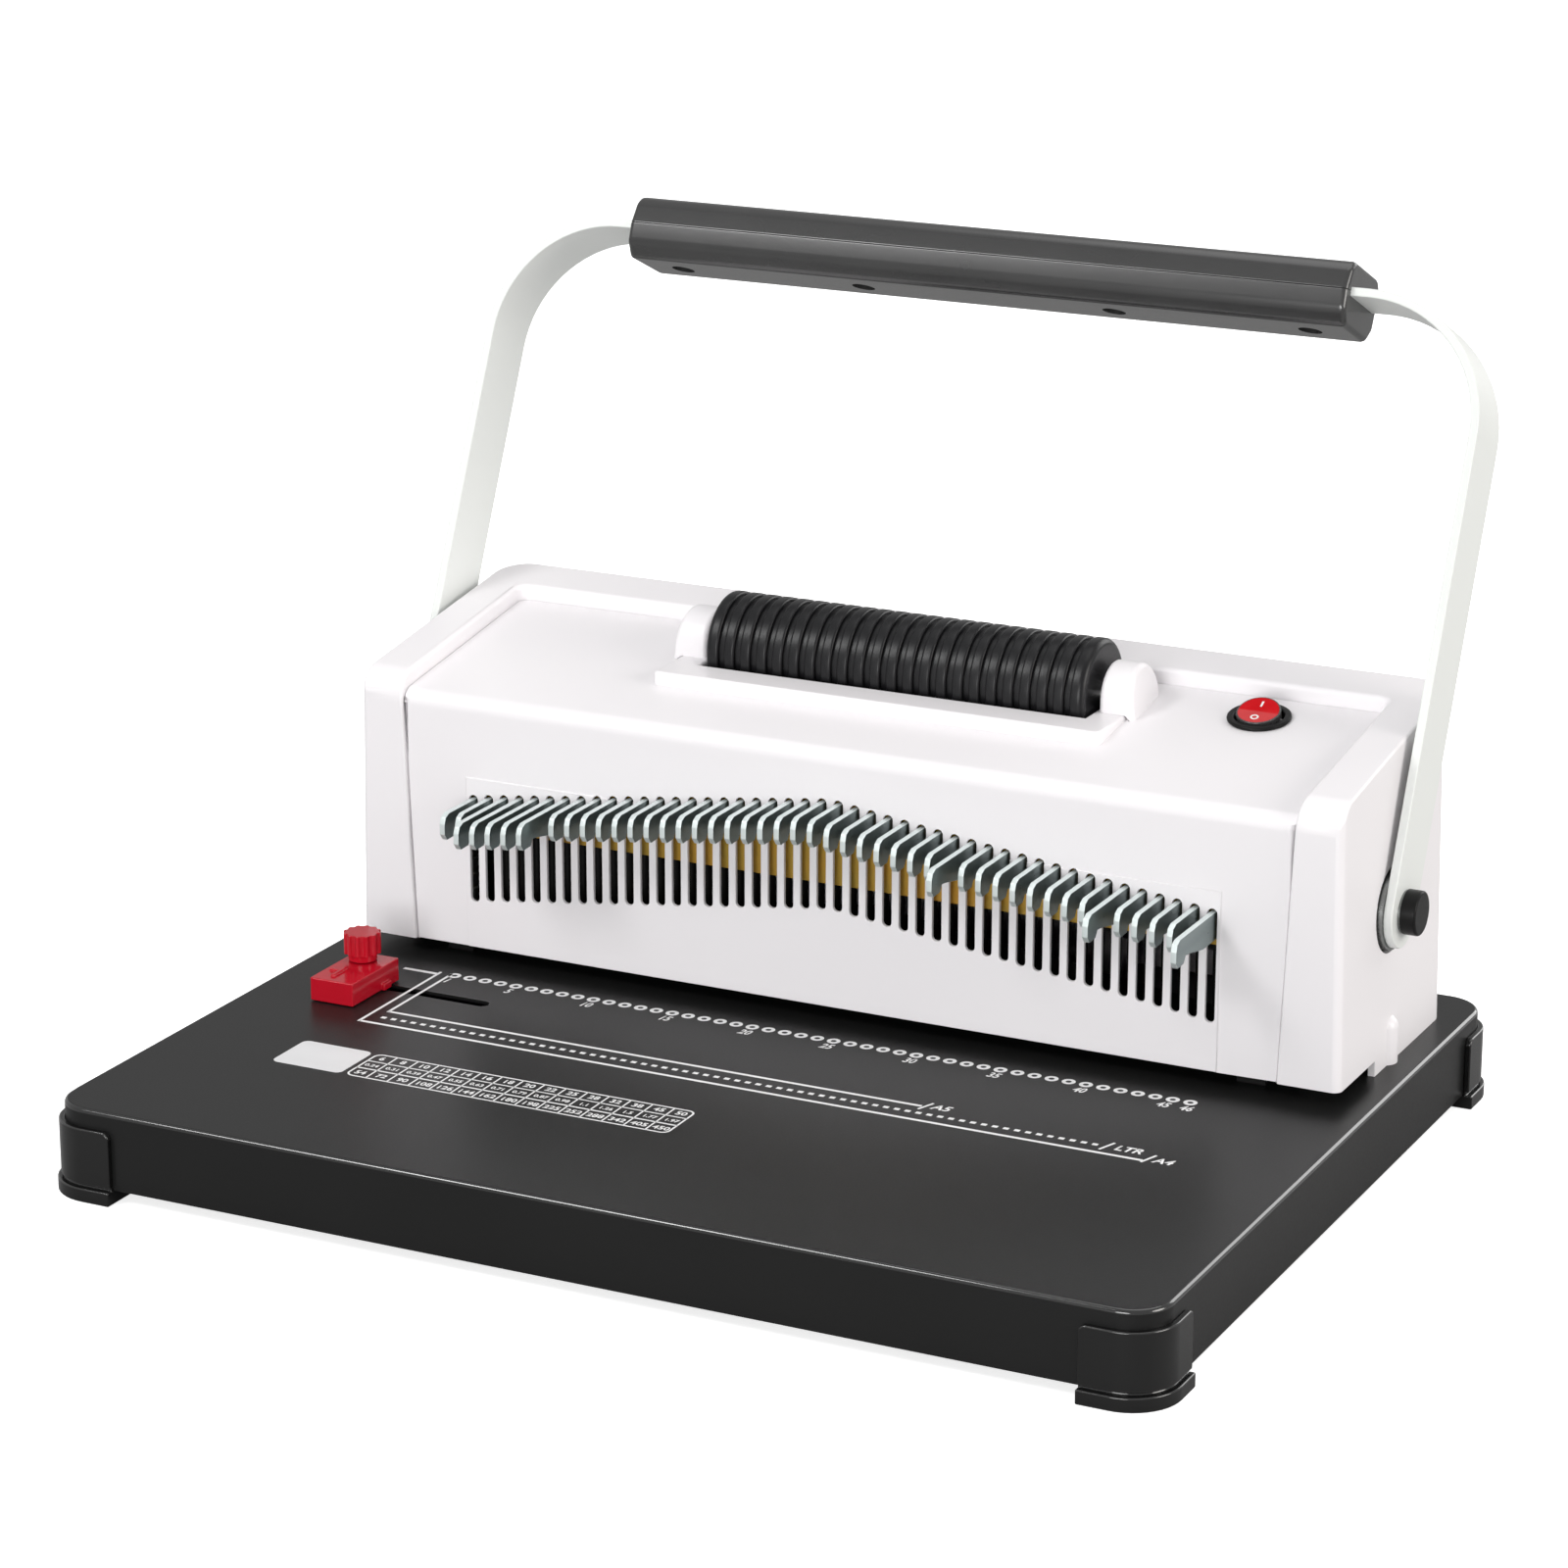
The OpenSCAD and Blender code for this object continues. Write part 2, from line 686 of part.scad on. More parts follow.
module roller_sleeve() {
    r = roller_d / 2;
    p = roller_len / rib_count;
    color(black) place() translate([-roller_len / 2, roller_y, roller_z]) rotate([0, 90, 0])
        rotate_extrude($fn = 96) difference() {
            union() {
                translate([4, 0]) square([r - 4 - sleeve_r, roller_len]);
                translate([4, sleeve_r]) square([r - 4, roller_len - 2 * sleeve_r]);
                for (x = [sleeve_r, roller_len - sleeve_r]) {
                    translate([r - sleeve_r, x]) circle(sleeve_r, $fn = 32);
                }
            }
            for (k = [1 : rib_count - 1]) {
                translate([r - rib_depth, k * p - rib_gap / 2]) square([rib_depth + 1, rib_gap]);
            }
        }
}

// Lever: drawn upright around the pivot, s along the arms, w across the bar

module lever() {
    translate([0, pivot_y, pivot_z]) rotate([-lever_lean, 0, 0]) children();
}

module u_outline(o) {
    h = arm_x + bar_t - o;
    r = bend_r - o;
    top = lever_len + bar_t / 2 - o;
    translate([-h, -bar_w]) square([2 * h, top - r + bar_w]);
    translate([-h + r, 0]) square([2 * h - 2 * r, top]);
    for (x = [-h + r, h - r]) {
        translate([x, top - r]) circle(r, $fn = 96);
    }
}

module handle_bar() {
    color([0.88, 0.9, 0.88]) place() lever() difference() {
        intersection() {
            along_y(-bar_w / 2, bar_w) difference() {
                u_outline(0);
                u_outline(bar_t);
            }
            along_x(-arm_x - 10, 2 * arm_x + 20) union() {
                translate([-bar_w / 2, 0]) square([bar_w, lever_len + 20]);
                circle(bar_w / 2, $fn = 64);
            }
        }
        rod_x(-arm_x - 10, 2 * arm_x + 20, shaft_d, 0, 0);
        for (x = [-0.44, -0.176, 0.176, 0.44]) {
            translate([x * grip_len, 0, lever_len - 10]) cylinder(d = 4.4, h = 20, $fn = 32);
        }
    }
}

module grip_upper() {
    g = grip_w / 2;
    color(black) place() lever() difference() {
        along_x(-grip_len / 2, grip_len) translate([0, lever_len])
            polygon([[-g, 0], [-g + 0.5, grip_up - 3], [-g + 3.5, grip_up], [g - 3.5, grip_up],
                [g - 0.5, grip_up - 3], [g, 0]]);
        translate([-grip_len / 2 - 1, -bar_w / 2, lever_len - bar_t])
            cube([grip_len + 2, bar_w, 1.5 * bar_t]);
        for (x = [-0.44, -0.176, 0.176, 0.44]) {
            translate([x * grip_len, 0, lever_len - 5]) cylinder(d = 3, h = 5 + grip_up - 2.5, $fn = 32);
        }
    }
}

module grip_lower() {
    g = grip_w / 2;
    color(black) place() lever() difference() {
        along_x(-grip_len / 2, grip_len) translate([0, lever_len])
            polygon([[-g, 0], [-g + 0.6, -grip_down + 5], [-g + 5, -grip_down], [g - 5, -grip_down],
                [g - 0.6, -grip_down + 5], [g, 0]]);
        translate([-grip_len / 2 - 1, -bar_w / 2, lever_len - bar_t / 2])
            cube([grip_len + 2, bar_w, 2 * bar_t]);
        for (x = [-0.44, -0.176, 0.176, 0.44]) {
            translate([x * grip_len, 0, lever_len - 30]) cylinder(d = 4, h = 40, $fn = 32);
            translate([x * grip_len, 0, lever_len - grip_down - 1]) cylinder(d = 8.6, h = 7, $fn = 48);
        }
    }
}

module grip_screws() {
    color(steel) place() lever() for (x = [-0.44, -0.176, 0.176, 0.44]) {
        translate([x * grip_len, 0, lever_len - grip_down + 3.5]) cylinder(d = 7, h = 2.5, $fn = 32);
        translate([x * grip_len, 0, lever_len - grip_down + 5]) cylinder(d = 3, h = grip_down + 2, $fn = 32);
    }
}

module cross_shaft() {
    color(steel) place() {
        rod_x(-arm_x - bar_t - washer_t, 2 * (arm_x + bar_t + washer_t), shaft_d, pivot_y, pivot_z);
        for (s = [-1, 1]) {
            rod_x(s > 0 ? arm_x - 6 : -arm_x, 6, recess_d - 2.5, pivot_y, pivot_z);
        }
    }
}

module pivot_washers() {
    color(steel) place() difference() {
        for (s = [-1, 1]) {
            rod_x(s > 0 ? arm_x + bar_t : -arm_x - bar_t - washer_t, washer_t, shaft_d + 3, pivot_y, pivot_z);
        }
        rod_x(-arm_x - 20, 2 * arm_x + 40, shaft_d, pivot_y, pivot_z);
    }
}

module pivot_caps() {
    color(black) place() for (s = [-1, 1]) {
        x0 = arm_x + bar_t + washer_t;
        rod_x(s > 0 ? x0 : -x0 - cap_t, cap_t, cap_d, pivot_y, pivot_z);
    }
}

// Involute tooth: half angle at radius q
function inv(a) = tan(a) * 180 / PI - a;
function half_at(q) = (PI * gear_m / 2 - tooth_play) / (2 * pitch_r) * 180 / PI + inv(20)
    - inv(acos(min(1, pitch_r * cos(20) / q)));
tooth_q = [for (k = [0 : 4]) pitch_r - 0.6 * gear_m + k * 0.4 * gear_m];

module pinion_shape() {
    root = pitch_r - 1.25 * gear_m;
    polygon([for (n = [0 : teeth - 1]) let (a = 180 + (n + 0.5) * 360 / teeth) each concat(
        [[root * cos(a - half_at(tooth_q[0])), root * sin(a - half_at(tooth_q[0]))]],
        [for (q = tooth_q) [q * cos(a - half_at(q)), q * sin(a - half_at(q))]],
        [for (k = [4 : -1 : 0]) [tooth_q[k] * cos(a + half_at(tooth_q[k])),
            tooth_q[k] * sin(a + half_at(tooth_q[k]))]],
        [[root * cos(a + half_at(tooth_q[0])), root * sin(a + half_at(tooth_q[0]))]])]);
}

module pinions() {
    color(steel) place() for (s = [-1, 1]) {
        along_x(s * rack_x - 5, 10) translate([pivot_y, pivot_z]) difference() {
            pinion_shape();
            circle(d = shaft_d, $fn = 64);
        }
    }
}

// Ram

module racks() {
    y0 = beam_y0 + 14;
    yp = pivot_y - pitch_r;
    h = (PI * gear_m / 2 - tooth_play) / 2;
    step = PI * gear_m;
    t = tan(20) * gear_m;
    color(steel) place() for (s = [-1, 1]) {
        along_x(s * rack_x - 5, 10) union() {
            translate([y0, pivot_z - 8]) square([yp - 1.25 * gear_m - y0, 44]);
            for (n = [-1 : 7]) {
                z = pivot_z + n * step;
                polygon([[yp - 1.3 * gear_m, z - h - 1.3 * t], [yp + 0.8 * gear_m, z - h + 0.8 * t],
                    [yp + 0.8 * gear_m, z + h - 0.8 * t], [yp - 1.3 * gear_m, z + h + 1.3 * t]]);
            }
        }
    }
}

// Tab openings through the ram, seen from the front
module tab_windows() {
    w = tab_t + 2 * gap;
    for (i = [1 : hole_count]) {
        translate([hole_x(i) - w / 2, tab_z + rise(i) - gap]) square([w, tab_h + 2 * gap]);
    }
}

module ram_plate() {
    color(brass) place() along_y(fy + wall + 1.7, 3) difference() {
        translate([-row_half - plate_side, tab_z - 3]) square([2 * (row_half + plate_side), plate_h]);
        tab_windows();
    }
}

module ram_beam() {
    x1 = row_half + 4.5;
    x2 = row_half + 17.8;
    z0 = tab_z - 7;
    color(steel) place() difference() {
        union() {
            along_y(beam_y0, 23) polygon([[-x1, z0], [0, z0 + peak + 0.4], [x1, z0], [x1, z0 + 22],
                [0, z0 + 22 + peak + 0.4], [-x1, z0 + 22]]);
            for (s = [-1, 1]) {
                translate([s > 0 ? x1 - 0.5 : -x2, beam_y0, tab_z + 1]) cube([x2 - x1 + 0.5, 14, 14]);
            }
        }
        along_y(beam_y0 - 1, 30) tab_windows();
        for (i = [1 : hole_count]) {
            translate([hole_x(i), punch_y, tab_z - 40]) cylinder(d = head_d + 2 * run, h = 90, $fn = 24);
        }
        for (s = [-1, 1]) {
            translate([s * post_x, post_y, tab_z - 10]) cylinder(d = post_d + 2 * run, h = 60, $fn = 48);
        }
    }
}

// One punch pin: its slotted head takes the end of a pushed-in tab, which ties the pin to the ram
module pin(i) {
    z0 = low_z + 1.4 + rise(i);
    z1 = tab_z + rise(i);
    translate([hole_x(i), punch_y, 0]) difference() {
        union() {
            translate([0, 0, z0]) cylinder(d = pin_d, h = z1 - z0, $fn = 24);
            translate([0, 0, z1 - head_end]) cylinder(d = head_d, h = tab_h + 2 * head_end, $fn = 24);
        }
        translate([-tab_t / 2 - gap, -head_d, z1 - gap]) cube([tab_t + 2 * gap, 2 * head_d, tab_h + 2 * gap]);
    }
}

module pins_idle() {
    color(steel) place() for (i = pulled) {
        pin(i);
    }
}

module pins_driven() {
    color(steel) place() for (i = [1 : hole_count]) {
        if (!is_out(i)) {
            pin(i);
        }
    }
}

// One pull tab: side outline (y, z) of the hooked plate
module tab(i) {
    y0 = fy - tab_out - (is_out(i) ? tab_pull : 0);
    y1 = y0 + tab_out + 26.2;
    z1 = tab_z + tab_h;
    color(zinc) place() translate([0, 0, rise(i)]) along_x(hole_x(i) - tab_t / 2, tab_t)
        polygon([[y0, tab_z + 2.6], [y0, z1 - 3.4], [y0 + 1, z1 - 1.1], [y0 + 3.4, z1], [y1, z1],
            [y1, tab_z], [y0 + 24, tab_z], [y0 + 12, tab_z + 2.4], [y0 + 8.6, tab_z + 2.8],
            [y0 + 7, tab_z + 0.5], [y0 + 1.8, tab_z + 0.3]]);
}

module tabs(a, b) {
    for (i = [a : b]) {
        tab(i);
    }
}

module tab_03() { tab(3); }
module tab_04() { tab(4); }
module tab_05() { tab(5); }
module tab_06() { tab(6); }
module tab_07() { tab(7); }
module tab_32() { tab(32); }
module tab_41() { tab(41); }
module tab_46() { tab(46); }
module tabs_01_02() { tabs(1, 2); }
module tabs_08_15() { tabs(8, 15); }
module tabs_16_23() { tabs(16, 23); }
module tabs_24_31() { tabs(24, 31); }
module tabs_33_40() { tabs(33, 40); }
module tabs_42_45() { tabs(42, 45); }

// Switch and side guide

module on_top(x, back) {
    translate([x, fy + back, top_at(fy + back)]) rotate([top_slope, 0, 0]) children();
}

module switch_bezel() {
    color(black) place() on_top(switch_x, switch_back) difference() {
        union() {
            cylinder(d = switch_d, h = 1.5, $fn = 64);
            translate([0, 0, -17]) cylinder(d = switch_d - 3.2, h = 18, $fn = 64);
        }
        translate([0, 0, -12]) cylinder(d = switch_d - 5, h = 20, $fn = 64);
        rod_x(-axle_half - 0.1, 2 * axle_half + 0.2, 1.8 + 2 * run, 0, 0);
    }
}

module rocker() {
    r = switch_d / 2 - 3.5;
    color(red) place() on_top(switch_x, switch_back) rotate([rock / 2, 0, 0]) {
        intersection() {
            translate([0, 0, -6]) cylinder(r = r, h = 20, $fn = 64);
            along_x(-r - 1, 2 * r + 2)
                polygon([[-5, -5], [5, -5], [r + 0.5, 0], [r + 0.5, 3.8], [0, 3.2], [-r - 0.5, 3.8],
                    [-r - 0.5, 0]]);
        }
        rod_x(-axle_half, 2 * axle_half, 1.8, 0, 0);
    }
}

module guide_block() {
    z0 = deck + gap;
    x0 = knob_x - 7;
    color(red) place() difference() {
        union() {
            translate([x0, guide_y - 24.6, z0]) cube([guide_w, guide_len, guide_h]);
            translate([knob_x - 7, guide_y - guide_slot_w / 2 + 0.5, deck - base_sheet])
                cube([13, guide_slot_w - 1, 4]);
            translate([x0 + guide_w - 1, guide_y - 5, z0]) cube([2.4, 5, 2.6]);
            translate([x0 + 6, guide_y - 20.5, z0 + guide_h - 0.5]) cube([1.6, 9, 1.4]);
            translate([x0 + 2.5, guide_y - 15.5, z0 + guide_h - 0.5]) cube([4, 1.6, 1.4]);
        }
        translate([knob_x, guide_y, deck - 10]) cylinder(d = 4 + 2 * run, h = 40, $fn = 48);
    }
}

module guide_knob() {
    z0 = deck + gap + guide_h + 0.4;
    color(red) place() translate([knob_x, guide_y, 0]) {
        translate([0, 0, z0]) cylinder(d = knob_d - 3.2, h = 3, $fn = 64);
        translate([0, 0, z0 + 2.5]) linear_extrude(8) difference() {
            circle(d = knob_d, $fn = 64);
            for (a = [0 : 30 : 330]) {
                rotate(a) translate([knob_d / 2 + 0.5, 0]) circle(1.3, $fn = 24);
            }
        }
        translate([0, 0, deck - 10]) cylinder(d = 4, h = z0 - deck + 12, $fn = 48);
    }
}

module guide_nut() {
    color(steel) place() difference() {
        translate([knob_x - 7, guide_y - 7, deck - base_sheet - gap - 4]) cube([14, 14, 4]);
        translate([knob_x, guide_y, deck - 20]) cylinder(d = 4 + 2 * run, h = 40, $fn = 48);
    }
}

base_tray();
base_bottom();
corner_feet();
shell();
cover();
die_plate();
pin_guide();
paper_stop();
side_frames();
shaft_bushes();
guide_posts();
post_feet();
motor();
motor_bracket();
bearing_blocks();
switch_bezel();
mains_inlet();
housing_screws();
pins_idle();
belt();
return_springs();
handle_bar();
grip_upper();
grip_lower();
grip_screws();
cross_shaft();
pinions();
pivot_caps();
pivot_washers();
ram_plate();
ram_beam();
racks();
pins_driven();
tab_03();
tab_04();
tab_05();
tab_06();
tab_07();
tab_32();
tab_41();
tab_46();
tabs_01_02();
tabs_08_15();
tabs_16_23();
tabs_24_31();
tabs_33_40();
tabs_42_45();
roller_sleeve();
roller_shaft();
roller_pulley();
motor_pulley();
rocker();
guide_block();
guide_knob();
guide_nut();
chip_drawer();
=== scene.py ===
# %% [markdown]
# # Coil binding machine
# A desk machine with a white moulded housing on a black steel tray. A lever drives a row of punch pins, a
# ribbed roller winds the coil in, and the tray carries a printed ruler. The solids come from the CAD frame.
# Here they get softened edges, printed marks and finishes, then a camera and studio light.

# %% Load the frame
import json
import math
import bmesh
import bpy
from mathutils import Matrix, Vector


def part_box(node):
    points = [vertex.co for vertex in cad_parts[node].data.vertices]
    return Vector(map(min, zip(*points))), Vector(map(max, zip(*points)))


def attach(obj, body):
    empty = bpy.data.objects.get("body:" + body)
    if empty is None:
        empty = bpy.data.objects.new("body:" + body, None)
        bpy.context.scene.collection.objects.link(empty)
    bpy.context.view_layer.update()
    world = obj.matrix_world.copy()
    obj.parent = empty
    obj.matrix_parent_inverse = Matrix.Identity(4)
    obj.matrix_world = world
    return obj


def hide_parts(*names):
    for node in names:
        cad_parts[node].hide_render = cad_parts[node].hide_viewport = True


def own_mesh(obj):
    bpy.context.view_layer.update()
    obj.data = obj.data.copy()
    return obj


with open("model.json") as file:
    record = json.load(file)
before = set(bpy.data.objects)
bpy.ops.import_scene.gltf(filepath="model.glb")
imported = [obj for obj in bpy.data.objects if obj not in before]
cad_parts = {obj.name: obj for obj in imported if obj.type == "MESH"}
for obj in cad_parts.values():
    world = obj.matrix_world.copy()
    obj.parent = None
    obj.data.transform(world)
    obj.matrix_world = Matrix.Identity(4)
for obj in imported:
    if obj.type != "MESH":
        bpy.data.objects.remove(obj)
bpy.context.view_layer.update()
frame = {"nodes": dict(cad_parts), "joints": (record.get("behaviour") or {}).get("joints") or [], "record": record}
nodes = frame["nodes"]
MM = 0.001
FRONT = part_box("base_tray")[0].y
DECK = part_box("base_tray")[1].z
slot_of = {s["node"]: s["material_slot"] for s in frame["record"]["subparts"]}
body_of = {n: b for b, members in frame["record"]["behaviour"]["bodies"].items() for n in members}


def joint_place(name):
    return Vector(next(joint["pos_m"] for joint in frame["joints"] if joint["name"] == name))


print(len(nodes), "nodes, deck at", round(DECK / MM, 2), "mm, base front at", round(FRONT / MM, 2), "mm")

# %% [markdown]
# ## Camera
# The photograph was taken from the right, a little above. The camera's place and lens were worked out from
# the known hole pitch of the ruler and from the edges of the tray, so the camera is simply set there.
# Its place is in metres from the floor below the middle of the tray's front, and its angles in radians.

# %% Camera
CAMERA_X, CAMERA_Y, CAMERA_Z = 0.69027, -1.23474, 0.61198
LOOK_DOWN, LOOK_LEFT = 0.301588, 0.461838
SENSOR, LENS = 36, 109.65
bpy.ops.object.select_all(action="DESELECT")
bpy.ops.object.camera_add(location=(CAMERA_X, CAMERA_Y + FRONT, CAMERA_Z),
                          rotation=(math.pi / 2 - LOOK_DOWN, 0, LOOK_LEFT))
camera = bpy.context.object
camera.name = "photo_camera"
camera.data.sensor_width = SENSOR
camera.data.lens = LENS
camera.data.clip_end = 20
bpy.context.scene.camera = camera
print("camera at", [round(v, 3) for v in camera.location])

# %% [markdown]
# ## Floor and light
# The object stands on a pale floor in soft light, as in a product studio. Where the camera sees the floor it
# glows by itself, so that it runs out into white and keeps only a faint contact shadow. As a light and in
# reflections it is a duller grey, so the black walls of the tray stay black.

# %% Floor
FLOOR_GLOW = 0.72
FLOOR_SEEN, FLOOR_UNSEEN = (0.9, 0.9, 0.9, 1), (0.38, 0.38, 0.38, 1)
bpy.ops.object.select_all(action="DESELECT")
bpy.ops.mesh.primitive_plane_add(size=16, location=(0, 3, 0))
floor = bpy.context.object
floor.name = "studio_floor"
floor_paint = bpy.data.materials.new("pale floor")
floor_paint.use_nodes = True
floor_tree = floor_paint.node_tree
floor_shader = floor_tree.nodes["Principled BSDF"]
floor_shader.inputs["Roughness"].default_value = 0.8
floor_shader.inputs["Emission Color"].default_value = (1, 1, 1, 1)
floor_ray = floor_tree.nodes.new("ShaderNodeLightPath")
floor_glow = floor_tree.nodes.new("ShaderNodeMapRange")
floor_glow.inputs["To Min"].default_value = 0.0
floor_glow.inputs["To Max"].default_value = FLOOR_GLOW
floor_tone = floor_tree.nodes.new("ShaderNodeMix")
floor_tone.data_type = "RGBA"
floor_tone.inputs[6].default_value = FLOOR_UNSEEN
floor_tone.inputs[7].default_value = FLOOR_SEEN
floor_tree.links.new(floor_ray.outputs["Is Camera Ray"], floor_glow.inputs["Value"])
floor_tree.links.new(floor_ray.outputs["Is Camera Ray"], floor_tone.inputs["Factor"])
floor_tree.links.new(floor_glow.outputs["Result"], floor_shader.inputs["Emission Strength"])
floor_tree.links.new(floor_tone.outputs[2], floor_shader.inputs["Base Color"])
floor.data.materials.append(floor_paint)
print("floor is", round(floor.dimensions.x, 1), "m wide")

# %% [markdown]
# Five round area lamps give broad highlights. The key stands in front on the left where the tray's front
# edge mirrors it to the camera, and it is the smallest, so it draws a thin bright line there. A low one in
# front lifts the lower part of the cover, a far warm one fills the right side, one hangs overhead and one
# stands behind for the views from there. The sky is pale grey for the light that it gives and white where
# the camera sees it.

# %% Lamps and sky
AIM = Vector((0, 0, 0.1))
WARM = (1.0, 0.965, 0.93)
SKY_LIGHT, SKY_SEEN = 0.5, 1.0


def lamp(name, place, size, power):
    bpy.ops.object.light_add(type="AREA", location=place)
    light = bpy.context.object
    light.name = name
    light.data.shape = "DISK"
    light.data.size = size
    light.data.energy = power
    light.rotation_euler = (AIM - Vector(place)).to_track_quat("-Z", "Y").to_euler()


lamp("key_lamp", (-1.2, -1.6, 1.9), 0.8, 22)
lamp("low_lamp", (0.2, -2.4, 0.3), 1.4, 36)
lamp("fill_lamp", (3.6, 0.1, 1.2), 2.2, 72)
lamp("top_lamp", (0.1, 0.6, 2.2), 2.0, 11)
lamp("back_lamp", (0.9, 2.4, 1.0), 1.6, 16)
bpy.data.objects["fill_lamp"].data.color = WARM
sky = bpy.data.worlds.new("studio sky")
sky.use_nodes = True
sky_tree = sky.node_tree
seen = sky_tree.nodes.new("ShaderNodeLightPath")
level = sky_tree.nodes.new("ShaderNodeMapRange")
level.inputs["To Min"].default_value = SKY_LIGHT
level.inputs["To Max"].default_value = SKY_SEEN
sky_tree.links.new(seen.outputs["Is Camera Ray"], level.inputs["Value"])
sky_tree.links.new(level.outputs["Result"], sky_tree.nodes["Background"].inputs["Strength"])
sky_tree.nodes["Background"].inputs["Color"].default_value = (1, 1, 1, 1)
bpy.context.scene.world = sky
bpy.context.scene.view_settings.view_transform = "Standard"

# %% [markdown]
# ## Finishes
# Moulded plastic, powder coat and plated sheet are never one flat colour: they have faint patches, a fine
# grain and small changes of gloss. One shader group makes these three things from two noises, and each
# finish places it with its own colours and scales. The colours, gloss and bump it gives change over the
# surface. What is the same all over is set on the shader itself.

# %% The surface group
surface = bpy.data.node_groups.new("surface", "ShaderNodeTree")
for name, value in (("Color", (0.5, 0.5, 0.5, 1)), ("Tint", (0.5, 0.5, 0.5, 1)), ("Patch Scale", 20.0),
                    ("Grain Scale", 900.0), ("Gloss Low", 0.3), ("Gloss High", 0.5),
                    ("Stretch", (1.0, 1.0, 1.0))):
    kind = "Float" if isinstance(value, float) else "Color" if len(value) == 4 else "Vector"
    socket = surface.interface.new_socket(name, in_out="INPUT", socket_type="NodeSocket" + kind)
    socket.default_value = value
for name, kind in (("Color", "Color"), ("Roughness", "Float"), ("Height", "Float")):
    surface.interface.new_socket(name, in_out="OUTPUT", socket_type="NodeSocket" + kind)
add = surface.nodes.new
wire = surface.links.new
given, result = add("NodeGroupInput"), add("NodeGroupOutput")
place = add("ShaderNodeTexCoord")
stretch = add("ShaderNodeMapping")
patches, grain = add("ShaderNodeTexNoise"), add("ShaderNodeTexNoise")
blend, gloss = add("ShaderNodeMix"), add("ShaderNodeMapRange")
blend.data_type = "RGBA"
grain.inputs["Detail"].default_value = 3.0
wire(place.outputs["Object"], stretch.inputs["Vector"])
wire(given.outputs["Stretch"], stretch.inputs["Scale"])
for noise, scale in ((patches, "Patch Scale"), (grain, "Grain Scale")):
    wire(stretch.outputs["Vector"], noise.inputs["Vector"])
    wire(given.outputs[scale], noise.inputs["Scale"])
wire(patches.outputs["Fac"], blend.inputs["Factor"])
wire(given.outputs["Color"], blend.inputs[6])
wire(given.outputs["Tint"], blend.inputs[7])
wire(blend.outputs[2], result.inputs["Color"])
wire(grain.outputs["Fac"], gloss.inputs["Value"])
wire(given.outputs["Gloss Low"], gloss.inputs["To Min"])
wire(given.outputs["Gloss High"], gloss.inputs["To Max"])
wire(gloss.outputs["Result"], result.inputs["Roughness"])
wire(grain.outputs["Fac"], result.inputs["Height"])
print("surface group has", len(surface.nodes), "nodes")

# %% [markdown]
# A finish is a Principled shader fed by the group, with a Bump node for the grain. The distance of the bump
# is in metres, so a tenth of a millimetre is already a coarse texture.

# %% One finish from the group
finishes = {}


def finish(name, color, tint, gloss, patch=20.0, grain=900.0, depth=0.02, metal=0.0, stretch=(1, 1, 1),
           coat=0.0, specular=0.5):
    material = bpy.data.materials.new(name)
    material.use_nodes = True
    tree = material.node_tree
    shader = tree.nodes["Principled BSDF"]
    group = tree.nodes.new("ShaderNodeGroup")
    group.node_tree = surface
    bump = tree.nodes.new("ShaderNodeBump")
    group.inputs["Color"].default_value = (*color, 1)
    group.inputs["Tint"].default_value = (*tint, 1)
    group.inputs["Patch Scale"].default_value = patch
    group.inputs["Grain Scale"].default_value = grain
    group.inputs["Gloss Low"].default_value, group.inputs["Gloss High"].default_value = gloss
    group.inputs["Stretch"].default_value = stretch
    bump.inputs["Distance"].default_value = depth * MM
    bump.inputs["Strength"].default_value = 1.0
    shader.inputs["Metallic"].default_value = metal
    shader.inputs["Coat Weight"].default_value = coat
    shader.inputs["Specular IOR Level"].default_value = specular
    tree.links.new(group.outputs["Color"], shader.inputs["Base Color"])
    tree.links.new(group.outputs["Roughness"], shader.inputs["Roughness"])
    tree.links.new(group.outputs["Height"], bump.inputs["Height"])
    tree.links.new(bump.outputs["Normal"], shader.inputs["Normal"])
    finishes[name] = material


# %% [markdown]
# The white housing is faintly warm and satin. The tray's powder coat and the feet are near black with a
# soft gloss. The tabs are zinc plated, so they are a bluish grey metal drawn along their length, and the ram
# plate behind the slots has the uneven gold of yellow passivation.

# %% All finishes
finish("white_plastic", (0.84, 0.818, 0.833), (0.815, 0.792, 0.81), (0.3, 0.42), 9, 1400, 0.006)
finish("white_paint", (0.78, 0.8, 0.775), (0.75, 0.77, 0.75), (0.3, 0.42), 12, 700, 0.012)
finish("base_black", (0.008, 0.008, 0.008), (0.012, 0.012, 0.012), (0.28, 0.4), 14, 1600, 0.01,
       specular=0.2)
finish("edge_black", (0.008, 0.008, 0.008), (0.012, 0.012, 0.012), (0.14, 0.2), 14, 1600, 0.002,
       coat=0.8)
finish("foot_rubber", (0.004, 0.004, 0.004), (0.007, 0.007, 0.007), (0.16, 0.24), 30, 1500, 0.003,
       specular=0.45)
finish("black_plastic", (0.036, 0.036, 0.036), (0.05, 0.05, 0.05), (0.22, 0.34), 40, 1100, 0.016,
       specular=0.7)
finish("grip_black", (0.022, 0.022, 0.022), (0.032, 0.032, 0.032), (0.18, 0.28), 40, 1100, 0.011,
       specular=0.85)
finish("cap_black", (0.006, 0.006, 0.006), (0.01, 0.01, 0.01), (0.3, 0.45), 40, 1100, 0.006, specular=0.14)
finish("roller_rubber", (0.004, 0.004, 0.005), (0.008, 0.008, 0.009), (0.3, 0.42), 40, 1300, 0.012,
       specular=0.32)
